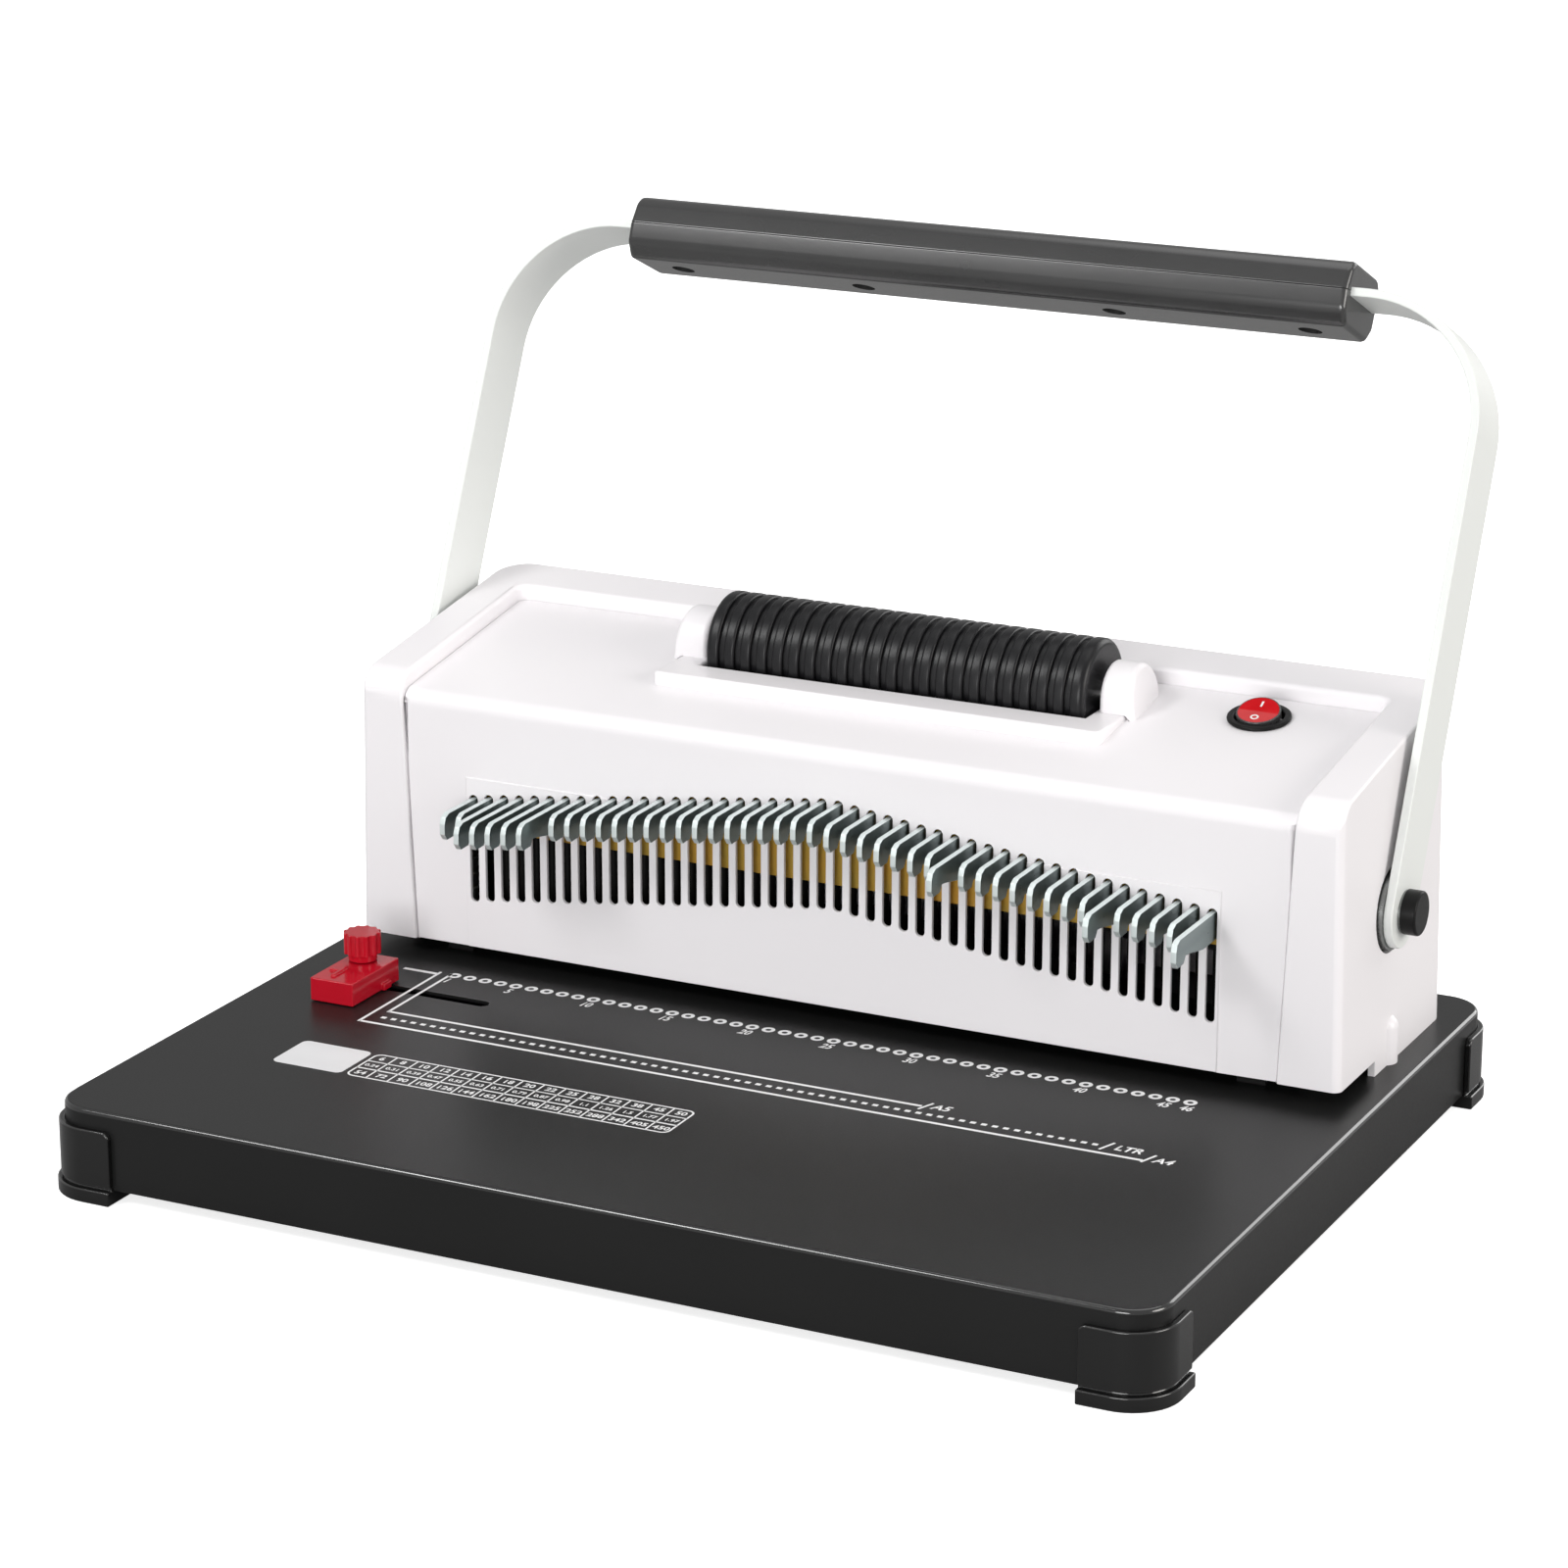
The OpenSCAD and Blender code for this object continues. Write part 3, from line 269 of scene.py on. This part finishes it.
# zinc is partly painted shade for the tab sides; the lighter zinc after it is a painted highlight
finish("zinc", (0.17, 0.215, 0.215), (0.27, 0.325, 0.32), (0.24, 0.36), 60, 1200, 0.004, 0.9, (3, 0.3, 3))
finish("zinc_painted_highlight", (0.66, 0.73, 0.72), (0.74, 0.8, 0.79), (0.26, 0.4), 60, 1200, 0.002, 0.35)
finish("steel", (0.5, 0.5, 0.5), (0.6, 0.6, 0.6), (0.25, 0.4), 40, 1500, 0.006, 1.0, (0.3, 3, 3))
# dark_steel is partly black oxide and partly painted shade for inner parts seen in throat and slots
finish("dark_steel", (0.006, 0.006, 0.007), (0.01, 0.009, 0.008), (0.4, 0.6), 40, 1500, 0.01, 0.2,
       specular=0.2)
# plated is darker than bare plating: painted shade for the pivot recess round washers and collars
finish("plated", (0.2, 0.21, 0.21), (0.28, 0.29, 0.28), (0.22, 0.36), 40, 1500, 0.004, 1.0)
finish("bush_brass", (0.55, 0.36, 0.12), (0.65, 0.45, 0.16), (0.25, 0.4), 40, 1500, 0.006, 1.0)
finish("yellow_zinc", (0.62, 0.3, 0.035), (0.36, 0.3, 0.06), (0.3, 0.45), 55, 1200, 0.006, 0.3)
finish("red_plastic", (0.4, 0.003, 0.012), (0.5, 0.006, 0.02), (0.1, 0.18), 50, 900, 0.0006, specular=0.4)
finish("switch_red", (0.5, 0.002, 0.006), (0.66, 0.01, 0.015), (0.1, 0.18), 160, 900, 0.001, coat=0.6)
finish("print_white", (0.8, 0.8, 0.8), (0.88, 0.88, 0.88), (0.5, 0.65), 90, 1500, 0.003)
finish("label_silver", (0.74, 0.74, 0.75), (0.82, 0.82, 0.83), (0.32, 0.44), 30, 900, 0.005, 0.15,
       (0.4, 4, 4))
for node, piece in nodes.items():
    piece.data.materials.clear()
    piece.data.materials.append(finishes[slot_of[node]])
print(len(finishes), "finishes")

# %% [markdown]
# ## Softened edges
# Moulded and stamped pieces have no knife edges, and it is the small rounded edge that catches the light.
# A CAD node must not be changed, so each visible one is copied, its loose triangles are merged and its flat
# faces joined. Then the sharp edges are selected by their angle and bevelled, and the copy stands for the
# node.

# %% Copy a node
WELD = 2e-6
FLAT, SMOOTH = math.radians(0.6), math.radians(40)


def edit(piece):
    if bpy.context.mode != "OBJECT":
        bpy.ops.object.mode_set(mode="OBJECT")
    bpy.ops.object.select_all(action="DESELECT")
    piece.select_set(True)
    bpy.context.view_layer.objects.active = piece
    bpy.ops.object.mode_set(mode="EDIT")
    bpy.ops.mesh.select_mode(type="EDGE")
    bpy.ops.mesh.select_all(action="DESELECT")


def merged_copy(node, name):
    piece = bpy.data.objects.new(name, nodes[node].data.copy())
    bpy.context.scene.collection.objects.link(piece)
    edit(piece)
    bpy.ops.mesh.customdata_custom_splitnormals_clear()
    bpy.ops.mesh.select_all(action="SELECT")
    bpy.ops.mesh.remove_doubles(threshold=WELD)
    return piece


def copy_of(node, name):
    piece = merged_copy(node, name)
    bpy.ops.mesh.dissolve_limited(angle_limit=FLAT)
    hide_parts(node)
    return piece


# %% Bevel the edges of a copy
def everywhere(middle, edge):
    return True


def round_edges(piece, test, least, width, segments, clamp=False):
    bpy.ops.mesh.select_all(action="DESELECT")
    mesh = bmesh.from_edit_mesh(piece.data)
    count = 0
    for edge in mesh.edges:
        sharp = len(edge.link_faces) == 2 and edge.calc_face_angle(0) > math.radians(least)
        edge.select_set(bool(sharp and test((edge.verts[0].co + edge.verts[1].co) / 2, edge)))
        count += edge.select
    bmesh.update_edit_mesh(piece.data)
    bpy.ops.mesh.bevel(offset=width * MM, offset_type="OFFSET", segments=segments, profile=0.5,
                       clamp_overlap=clamp)
    return count


def done(piece):
    bpy.ops.object.mode_set(mode="OBJECT")
    bpy.ops.object.shade_smooth_by_angle(angle=SMOOTH)
    flat = piece.modifiers.new("flat faces", "WEIGHTED_NORMAL")
    flat.keep_sharp = True
    flat.weight = 100
    bpy.ops.object.modifier_apply(modifier="flat faces")


def soften(node, name, width, segments=3, least=25, where=everywhere):
    piece = copy_of(node, name)
    edit(piece)
    count = round_edges(piece, where, least, width, segments)
    done(piece)
    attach(piece, body_of[node])
    print(name, "-", count, "edges softened by", width, "mm,", len(piece.data.polygons), "faces")
    return piece


# %% [markdown]
# ## Housing shell
# The cheeks and the rear wall are one moulding with a raised rim. The inner lip of the rim is rounded by
# 1.8 mm, less where it runs down beside the seams, and the outer edge by 1 mm. Round the front corners the
# outer edge fades into the surface, and a bevel of one width would fold over itself there. So every edge
# gets a weight, which falls with its angle, and a bevel modifier reads the weights.

# %% Housing shell
shell = copy_of("shell", "housing_shell")
edit(shell)
shell_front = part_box("shell")[0].y
LIP, OUTER, SEAM = 1.8, 1.0, 0.8
RIM_FOOT, RIM_TOP, RIM_DEPTH = 6.5, 80, 9
FADE, CREASE = math.radians(10), math.radians(30)


def on_rim(middle, edge):
    top = max(face.normal.z for face in edge.link_faces) > 0.2 and middle.z > DECK + RIM_TOP * MM
    front = min(face.normal.y for face in edge.link_faces) < -0.2 and middle.y < shell_front + RIM_DEPTH * MM
    return (top or front) and middle.z > DECK + RIM_FOOT * MM


def rim_weight(edge):
    middle = (edge.verts[0].co + edge.verts[1].co) / 2
    turn = edge.calc_face_angle(0)
    if turn < FADE or not on_rim(middle, edge):
        return 0.0
    side = math.copysign(1, middle.x)
    if any(face.normal.x * side > 0.5 or face.normal.y > 0.5 for face in edge.link_faces):
        return OUTER / LIP * math.sin(min(turn, math.pi / 2)) ** 3
    steep = abs(edge.verts[0].co.z - edge.verts[1].co.z) / edge.calc_length()
    return 0.0 if turn < CREASE else 1.0 - steep * (1.0 - SEAM / LIP)


shell_mesh = bmesh.from_edit_mesh(shell.data)
weight = shell_mesh.edges.layers.float.new("bevel_weight_edge")
for edge in shell_mesh.edges:
    edge[weight] = rim_weight(edge)
rim = sum(edge[weight] > 0 for edge in shell_mesh.edges)
bmesh.update_edit_mesh(shell.data)
bpy.ops.object.mode_set(mode="OBJECT")
rounding = shell.modifiers.new("rim", "BEVEL")
rounding.limit_method = "WEIGHT"
rounding.width = LIP * MM
rounding.segments = 4
rounding.use_clamp_overlap = False
bpy.ops.object.modifier_apply(modifier="rim")
done(shell)
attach(shell, "base")
print("shell:", rim, "rim edges,", len(shell.data.polygons), "faces")

# %% [markdown]
# ## Cover
# The level ledge in front of the roller is the only raised form on the cover. Its upright corners are
# rounded first and its top edge after that, so the two bevels meet cleanly. The slots, the raised panel and
# the lower edge of the front get a hair of rounding, as a moulding tool leaves it.

# %% Cover
cover = copy_of("cover", "front_cover")
edit(cover)
cover_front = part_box("cover")[0].y
LEDGE, LEDGE_DEPTH, FRONT_DEPTH = 85, 40, 3


def on_ledge_corner(middle, edge):
    upright = abs(edge.verts[0].co.z - edge.verts[1].co.z) > 0.9 * edge.calc_length()
    return upright and middle.z > DECK + LEDGE * MM and middle.y < cover_front + LEDGE_DEPTH * MM


def on_ledge(middle, edge):
    level = max(face.normal.z for face in edge.link_faces) > 0.9995
    return level and middle.z > DECK + LEDGE * MM and edge.calc_length() > 0.2 * MM


def on_front(middle, edge):
    facing = min(face.normal.y for face in edge.link_faces) < -0.98
    return facing and middle.y < cover_front + FRONT_DEPTH * MM


corners = round_edges(cover, on_ledge_corner, 50, 2.5, 4)
ledge = round_edges(cover, on_ledge, 50, 1.2, 4)
slots = round_edges(cover, on_front, 50, 0.3, 2)
done(cover)
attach(cover, "base")
print("cover:", corners, "corners,", ledge, "ledge edges,", slots, "edges at the front")

# %% [markdown]
# The ends of the cover have a return behind the seams, so the gap shows white plastic and not the dark
# inside. A copy of the cover is cut a millimetre inside each leaning end, and the slice that is left is set
# back behind the seam.

# %% Seam returns
FOOT_BAND, HEAD_BAND = (0, 25), (85, 130)
INSET, OUT, BACK, DOWN = 1.0, 0.9, 0.8, 0.4


def cover_end(side, low, high):
    band = [vert.co for vert in nodes["cover"].data.vertices if low * MM < vert.co.z - DECK < high * MM]
    return max(band, key=lambda place: place.x * side)


for side, name in ((1, "seam_return_right"), (-1, "seam_return_left")):
    foot, head = cover_end(side, *FOOT_BAND), cover_end(side, *HEAD_BAND)
    slope = (head.x - foot.x) / (head.z - foot.z)
    strip = merged_copy("cover", name)
    bpy.ops.mesh.select_all(action="SELECT")
    bpy.ops.mesh.bisect(plane_co=foot - Vector((side * INSET * MM, 0, 0)), plane_no=(side, 0, -side * slope),
                        clear_inner=True, use_fill=True)
    bpy.ops.mesh.select_all(action="SELECT")
    bpy.ops.transform.translate(value=(side * OUT * MM, BACK * MM, -DOWN * MM))
    done(strip)
    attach(strip, "base")
    print(name, "-", len(strip.data.polygons), "faces, slope", round(slope, 3))

# %% [markdown]
# ## Roller and its blocks
# The roller's sleeve is rubber, so each rib is rounded over until it looks like a ring. The two blocks at
# its ends are moulded hoods with a wide radius. Only the outer edges are picked, by their distance from the
# roller's axis, since the bores inside are not seen.

# %% Roller and blocks
axis = joint_place("roller_spin")
rib_radius = (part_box("roller_sleeve")[1].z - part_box("roller_sleeve")[0].z) / 2
hood_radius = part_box("bearing_blocks")[1].z - axis.z


def from_axis(middle):
    return math.hypot(middle.y - axis.y, middle.z - axis.z)


def on_rib(middle, edge):
    return from_axis(middle) > rib_radius - 0.4 * MM


def on_hood(middle, edge):
    reach = abs(middle.y - axis.y) if middle.z < axis.z else from_axis(middle)
    return reach > hood_radius - 0.7 * MM and min(face.normal.z for face in edge.link_faces) > -0.5


soften("roller_sleeve", "ribbed_roller", 0.9, 3, 50, on_rib)
soften("bearing_blocks", "roller_blocks", 2.0, 4, 40, on_hood)

# %% [markdown]
# ## Lever
# The bar is flat steel with painted, slightly rounded edges. The grip is two moulded halves: outside edges
# are wide and round, and the edges at the joint are small, so a fine groove runs along the grip. To find the
# joint, each edge is measured along the lever's own direction, which leans back from the pivot. The front
# of the upper half is also tipped back a little, so the two halves catch the light differently.

# %% Grip
LEVER_LEAN = math.radians(24.4)
GRIP_SIDE, GRIP_TOP, GRIP_FRONT, TIP_BACK = 13.5, 7, 12, 1.6
pivot = joint_place("lever_pull")
along = Vector((0, math.sin(LEVER_LEAN), math.cos(LEVER_LEAN)))
across = Vector((0, math.cos(LEVER_LEAN), -math.sin(LEVER_LEAN)))
joint_at = min((vert.co - pivot).dot(along) for vert in nodes["grip_upper"].data.vertices)


def grip_place(middle):
    return (middle - pivot).dot(along) - joint_at, abs((middle - pivot).dot(across))


def on_grip(middle, edge):
    height, side = grip_place(middle)
    outside = side > GRIP_SIDE * MM or abs(height) > GRIP_TOP * MM
    return outside and abs(height) > 1.5 * MM and edge.calc_length() > 2 * MM


def on_joint(middle, edge):
    height, side = grip_place(middle)
    return abs(height) < 0.5 * MM and side > GRIP_SIDE * MM


def tip_front(half):
    bpy.ops.mesh.select_mode(type="VERT")
    mesh = bmesh.from_edit_mesh(half.data)
    for vert in mesh.verts:
        height, side = grip_place(vert.co)
        front = (vert.co - pivot).dot(across) < 0
        vert.select_set(front and side > GRIP_FRONT * MM and height > GRIP_TOP * MM)
    bmesh.update_edit_mesh(half.data)
    bpy.ops.transform.translate(value=across * TIP_BACK * MM)
    bpy.ops.mesh.select_mode(type="EDGE")


for node, name in (("grip_upper", "grip_top_half"), ("grip_lower", "grip_bottom_half")):
    half = copy_of(node, name)
    half.data.materials[0] = finishes["grip_black"]
    edit(half)
    if node == "grip_upper":
        tip_front(half)
    outer = round_edges(half, on_grip, 20, 2.0, 4)
    inner = round_edges(half, on_joint, 50, 0.45, 2)
    done(half)
    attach(half, "lever")
    print(name, "-", outer, "outer edges and", inner, "at the joint")

# %% Bar and caps
soften("handle_bar", "lever_bar", 0.5, 3)
cap_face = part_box("pivot_caps")[1].x


def on_cap(middle, edge):
    return abs(middle.x) > cap_face - 1 * MM


caps = soften("pivot_caps", "lever_caps", 1.0, 5, 50, on_cap)
caps.data.materials[0] = finishes["cap_black"]

# %% [markdown]
# ## Small pieces
# The switch ring, the side guide and the pieces at the back each get one width of bevel that suits how they
# are made.

# %% Small pieces
bezel = soften("switch_bezel", "switch_ring", 0.6, 3, 50, lambda middle, edge: edge.calc_length() > 0.5 * MM)
bezel.data.materials[0] = finishes["cap_black"]
for node, name, width, segments in (("guide_block", "side_guide", 0.4, 3),
                                    ("guide_knob", "clamp_knob", 0.35, 2),
                                    ("chip_drawer", "chip_bin", 0.5, 2),
                                    ("mains_inlet", "mains_socket", 0.4, 2),
                                    ("housing_screws", "rear_screws", 0.6, 3)):
    soften(node, name, width, segments, 50)

# %% [markdown]
# ## Return springs
# Two springs inside push the ram up again, and the ram presses them together by its stroke. A rigid copy
# would stick through the ram's beam when the lever is down; this copy is fixed to the base with a mesh of its own.

# %% Return springs
springs = copy_of("return_springs", "return_spring_pair")
done(springs)
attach(springs, "base")
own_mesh(springs)

# %% [markdown]
# ## Tabs
# The tabs are stamped from zinc plated sheet. Every face that does not look sideways gets a second, lighter
# finish, a painted highlight on their narrow edges, and the sideways faces keep the dark zinc, partly painted
# shade between the tabs.

# %% Tabs
SIDEWAYS = 0.6
for node in sorted(n for n in nodes if n.startswith("tab")):
    tab = soften(node, "punch_" + node, 0.3, 2, 20)
    # the lighter finish is a painted highlight; the dark zinc on the sides is partly painted shade
    tab.data.materials.append(finishes["zinc_painted_highlight"])
    for face in tab.data.polygons:
        face.material_index = 1 if abs(face.normal.x) < SIDEWAYS else 0

# %% [markdown]
# ## Rocker
# The rocker is a black frame with a red window let into its top. The two top faces are inset together, the
# inner ones get the red finish, and the outer edge is rounded.

# %% Rocker
UPWARD, WINDOW_FRAME, LEAST_TOP = 0.8, 0.55, 20


def on_top(middle, edge):
    return max(face.normal.z for face in edge.link_faces) > UPWARD


rocker = copy_of("rocker", "switch_rocker")
rocker.data.materials.clear()
rocker.data.materials.append(finishes["black_plastic"])
rocker.data.materials.append(finishes["switch_red"])
edit(rocker)
bpy.ops.mesh.select_mode(type="FACE")
mesh = bmesh.from_edit_mesh(rocker.data)
for face in mesh.faces:
    face.material_index = 0
    face.select_set(face.normal.z > UPWARD and face.calc_area() > LEAST_TOP * MM * MM)
bmesh.update_edit_mesh(rocker.data)
bpy.ops.mesh.inset(thickness=WINDOW_FRAME * MM, depth=0)
rocker.active_material_index = 1
bpy.ops.object.material_slot_assign()
bpy.ops.mesh.select_mode(type="EDGE")
frame_edges = round_edges(rocker, on_top, 40, 0.35, 3)
done(rocker)
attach(rocker, "rocker")
print("rocker:", frame_edges, "frame edges,", len(rocker.data.polygons), "faces")

# %% [markdown]
# ## Tray and feet
# The tray is folded from sheet, so its top edge has a bend radius of more than a millimetre and the cut-outs
# have only a hair of rounding. The corner feet are moulded: their upper corners are rounded off widely where
# the wrap ends on each side, and the rest gets a small radius. Those ends are the short top edges that run
# straight along X or Y. Hands polish the rounded edges, so faces that lie aslant get a glossier finish.

# %% Tray
BORDER = 16
LEVEL, UPRIGHT = 0.97, 0.12
tray = copy_of("base_tray", "steel_tray")
edit(tray)
tray_low, tray_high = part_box("base_tray")


def polish(piece):
    piece.data.materials.append(finishes["edge_black"])
    for face in piece.data.polygons:
        face.material_index = 1 if UPRIGHT < abs(face.normal.z) < LEVEL else 0


def on_border(middle, edge):
    up = max(face.normal.z for face in edge.link_faces) > 0.9
    inside = (tray_low.x + BORDER * MM < middle.x < tray_high.x - BORDER * MM
              and tray_low.y + BORDER * MM < middle.y < tray_high.y - BORDER * MM)
    return up and not inside and middle.z > DECK - 0.1 * MM


bend = round_edges(tray, on_border, 50, 1.5, 5)
cut = round_edges(tray, everywhere, 50, 0.3, 2, True)
done(tray)
polish(tray)
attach(tray, "base")
print("tray:", bend, "bend edges and", cut, "cut edges")

# %% Corner feet
LONGEST_END, STRAIGHT = 3, 0.02
feet = copy_of("corner_feet", "corner_foot_set")
edit(feet)
foot_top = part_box("corner_feet")[1].z


def on_wrap_end(middle, edge):
    run = edge.verts[1].co - edge.verts[0].co
    straight = min(abs(run.x), abs(run.y)) < STRAIGHT * MM and abs(run.z) < STRAIGHT * MM
    return straight and middle.z > foot_top - 0.1 * MM and run.length < LONGEST_END * MM


wraps = round_edges(feet, on_wrap_end, 50, 2.5, 5)
others = round_edges(feet, everywhere, 40, 0.5, 3)
done(feet)
polish(feet)
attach(feet, "base")
print("feet:", wraps, "wrap ends and", others, "other edges")

# %% [markdown]
# ## Printed ruler
# White ink on the deck shows where the holes fall and how wide each sheet is: a ring for every hole, a
# number at every fifth, and lines for the common sheet widths. One ring is drawn and repeated by an Array.
# Each mark is a film a few hundredths of a millimetre thick that lies on the deck.

# %% Tools for printing
INK = 0.04


def on_deck(x, y):
    return (x * MM, y * MM + FRONT, DECK + 0.02 * MM)


def thicken(piece, name, material, thickness=INK):
    bpy.ops.object.select_all(action="DESELECT")
    piece.select_set(True)
    bpy.context.view_layer.objects.active = piece
    bpy.ops.object.transform_apply(location=True, rotation=True, scale=True)
    solid = piece.modifiers.new("film", "SOLIDIFY")
    solid.thickness = thickness * MM
    solid.offset = 1.0
    bpy.ops.object.modifier_apply(modifier="film")
    piece.name = name
    piece.data.materials.clear()
    piece.data.materials.append(finishes[material])
    return piece


def repeat(piece, count, step):
    row = piece.modifiers.new("row", "ARRAY")
    row.use_relative_offset = False
    row.use_constant_offset = True
    row.constant_offset_displace = (step[0] * MM, step[1] * MM, 0)
    row.count = count
    bpy.ops.object.modifier_apply(modifier="row")


def plane(place, wide, deep, turn=0.0):
    bpy.ops.object.select_all(action="DESELECT")
    bpy.ops.mesh.primitive_plane_add(size=1, location=place, rotation=(0, 0, turn))
    sheet = bpy.context.object
    sheet.scale = (wide * MM, deep * MM, 1)
    bpy.ops.object.transform_apply(location=True, rotation=True, scale=True)
    return sheet


def line(x0, y0, x1, y1, width):
    middle = on_deck((x0 + x1) / 2, (y0 + y1) / 2)
    return plane(middle, math.hypot(x1 - x0, y1 - y0), width, math.atan2(y1 - y0, x1 - x0))


def hollow(band):
    bpy.ops.mesh.select_mode(type="FACE")
    bpy.ops.mesh.select_all(action="SELECT")
    bpy.ops.mesh.inset(thickness=band * MM)
    bpy.ops.mesh.delete(type="FACE")
    bpy.ops.object.mode_set(mode="OBJECT")


def ring(place, radius, band):
    bpy.ops.object.select_all(action="DESELECT")
    bpy.ops.mesh.primitive_circle_add(vertices=28, radius=radius * MM, fill_type="NGON", location=place)
    disc = bpy.context.object
    edit(disc)
    hollow(band)
    return disc


def join(pieces):
    bpy.ops.object.select_all(action="DESELECT")
    for piece in pieces:
        piece.select_set(True)
    bpy.context.view_layer.objects.active = pieces[0]
    bpy.ops.object.join()
    return pieces[0]


# %% Hole rings
PITCH, HOLES = 6.35, 46
RING_Y, RING_SHIFT = 170.75, 0.5
RING_RADIUS, RING_BAND = 2.4, 1.35


def hole_x(number):
    return (number - (HOLES + 1) / 2) * PITCH


rings = ring(on_deck(hole_x(1) + RING_SHIFT, RING_Y), RING_RADIUS, RING_BAND)
repeat(rings, HOLES, (PITCH, 0))
thicken(rings, "ruler_rings", "print_white")
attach(rings, "base")
print("rings:", len(rings.data.polygons), "faces")

# %% Sheet lines
DASHES, DASH_STEP = 69, 4.0
lines = [line(-144.2, 127.6, 63.8, 127.6, 1.4), line(-148.6, 115.2, 148.8, 115.2, 1.4),
         line(-148.8, 114.5, -148.8, 172, 1.1), line(-144.2, 126.9, -144.2, 172, 1.1),
         line(-163, 169.7, -149.2, 169.7, 1.8), line(63.8, 124.6, 66.4, 131.6, 0.9),
         line(132.3, 118, 134.9, 125.4, 0.9), line(148.8, 113.7, 151.4, 121.1, 0.9)]
dashes = line(-143.5, 121.4, -141.5, 121.4, 1.7)
repeat(dashes, DASHES, (DASH_STEP, 0))
ruler = thicken(join(lines + [dashes]), "ruler_lines", "print_white")
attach(ruler, "base")
print("lines:", len(ruler.data.polygons), "faces")

# %% [markdown]
# Numbers are text objects, turned into meshes before their place is applied. They follow the rings in steps
# of five, and the three common sheet sizes are named at the ends of their lines.

# %% Ruler numbers
def words(text, x, y, size, slant=0.0, narrow=1.0):
    bpy.ops.object.select_all(action="DESELECT")
    bpy.ops.object.text_add(location=on_deck(x, y))
    mark = bpy.context.object
    mark.data.body = text
    mark.data.size = size * MM
    mark.data.shear = slant
    mark.data.offset = 0.022 * size * MM
    mark.scale.x = narrow
    mark.data.align_x = "CENTER"
    mark.data.align_y = "CENTER"
    mark.data.resolution_u = 3
    bpy.ops.object.convert(target="MESH")
    bpy.ops.object.transform_apply(location=True, rotation=True, scale=True)
    return bpy.context.object


NUMBER_Y, TEXT_SIZE, SLANT = 164.9, 6, 0.2
shifts = {number: 0.4 for number in (1, 5, 10, 15, 20, 25, 30, 35, 40)}
shifts.update({45: -0.8, 46: 1.2})
marks = [words(str(number), hole_x(number) + shift, NUMBER_Y, TEXT_SIZE, SLANT, 0.75)
         for number, shift in shifts.items()]
marks += [words(sheet, x, y, TEXT_SIZE, SLANT, 0.95)
          for sheet, x, y in (("A5", 70.5, 128.6), ("LTR", 141.3, 121.6), ("A4", 155.3, 117))]
numbers = thicken(join(marks), "ruler_numbers", "print_white")
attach(numbers, "base")
print("numbers:", len(numbers.data.polygons), "faces")

# %% [markdown]
# ## Coil table and label
# In front of the ruler lie a printed table of coil sizes and sheet counts and a small bare silver label. The
# frames are planes with rounded corners, inset to a thin border.

# %% Table and label
def rounded(x0, y0, x1, y1, radius):
    plate = plane(on_deck((x0 + x1) / 2, (y0 + y1) / 2), x1 - x0, y1 - y0)
    edit(plate)
    bpy.ops.mesh.select_all(action="SELECT")
    bpy.ops.mesh.bevel(offset=radius * MM, segments=6, affect="VERTICES")
    return plate


LEFT, RIGHT, LOW, HIGH = -125.6, -1, 67, 89.2
coil_sizes = [6, 8, 10, 12, 14, 16, 18, 20, 22, 25, 28, 32, 38, 45, 50]
COLUMN = (RIGHT - LEFT) / len(coil_sizes)
SHEETS_PER_MM, INCH = 9, 25.4
border = rounded(LEFT, LOW, RIGHT, HIGH, 3)
hollow(0.7)
rules = [line(LEFT + COLUMN, LOW + 0.4, LEFT + COLUMN, HIGH - 0.4, 0.6)]
repeat(rules[0], len(coil_sizes) - 1, (COLUMN, 0))
rules.append(line(LEFT + 0.2, 75, RIGHT - 0.2, 75, 0.8))
rules.append(line(LEFT + 0.2, 82, RIGHT - 0.2, 82, 0.6))
for k, size in enumerate(coil_sizes):
    x = LEFT + (k + 0.5) * COLUMN
    rules.append(words(str(size), x, 85.4, 4.2))
    rules.append(words(str(round(size / INCH, 2)), x, 78.4, 3.1))
    rules.append(words(str(size * SHEETS_PER_MM), x, 70.9, 4.2))
table = thicken(join([border] + rules), "coil_table", "print_white")
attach(table, "base")
label = rounded(-155, LOW, -127.4, 89.4, 2.5)
bpy.ops.object.mode_set(mode="OBJECT")
thicken(label, "bare_label", "label_silver", 0.12)
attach(label, "base")
print("table:", len(table.data.polygons), "faces")

# %% [markdown]
# ## Switch marks
# The rocker carries a bar and a ring, the common signs for on and off. They lie on its two dished faces, so
# they are drawn flat, tilted about the rocker's own axle and moved to it.

# %% Switch marks
axle = joint_place("switch_rock")
SLOPE, SWING = 8.4, 24
MARK_OUT, MARK_UP, MARK_TILT = 3.9, 3.5, 4.13


def on_rocker(piece, side, name):
    turn = Matrix.Translation(axle) @ Matrix.Rotation(math.radians(SLOPE + SWING / 2), 4, "X")
    place = Matrix.Translation((0, side * MARK_OUT * MM, MARK_UP * MM))
    piece.data.transform(turn @ (place @ Matrix.Rotation(math.radians(side * MARK_TILT), 4, "X")))
    thicken(piece, name, "print_white", 0.06)
    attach(piece, "rocker")


on_mark = plane((0, 0, 0), 0.7, 2.8)
on_rocker(on_mark, 1, "switch_on_mark")
off_mark = ring((0, 0, 0), 1.5, 0.6)
on_rocker(off_mark, -1, "switch_off_mark")
print("rocker axle at", [round(v, 4) for v in axle])

# %% [markdown]
# ## Finish
# Nothing is left selected at the end.

# %% Finish
bpy.ops.object.select_all(action="DESELECT")
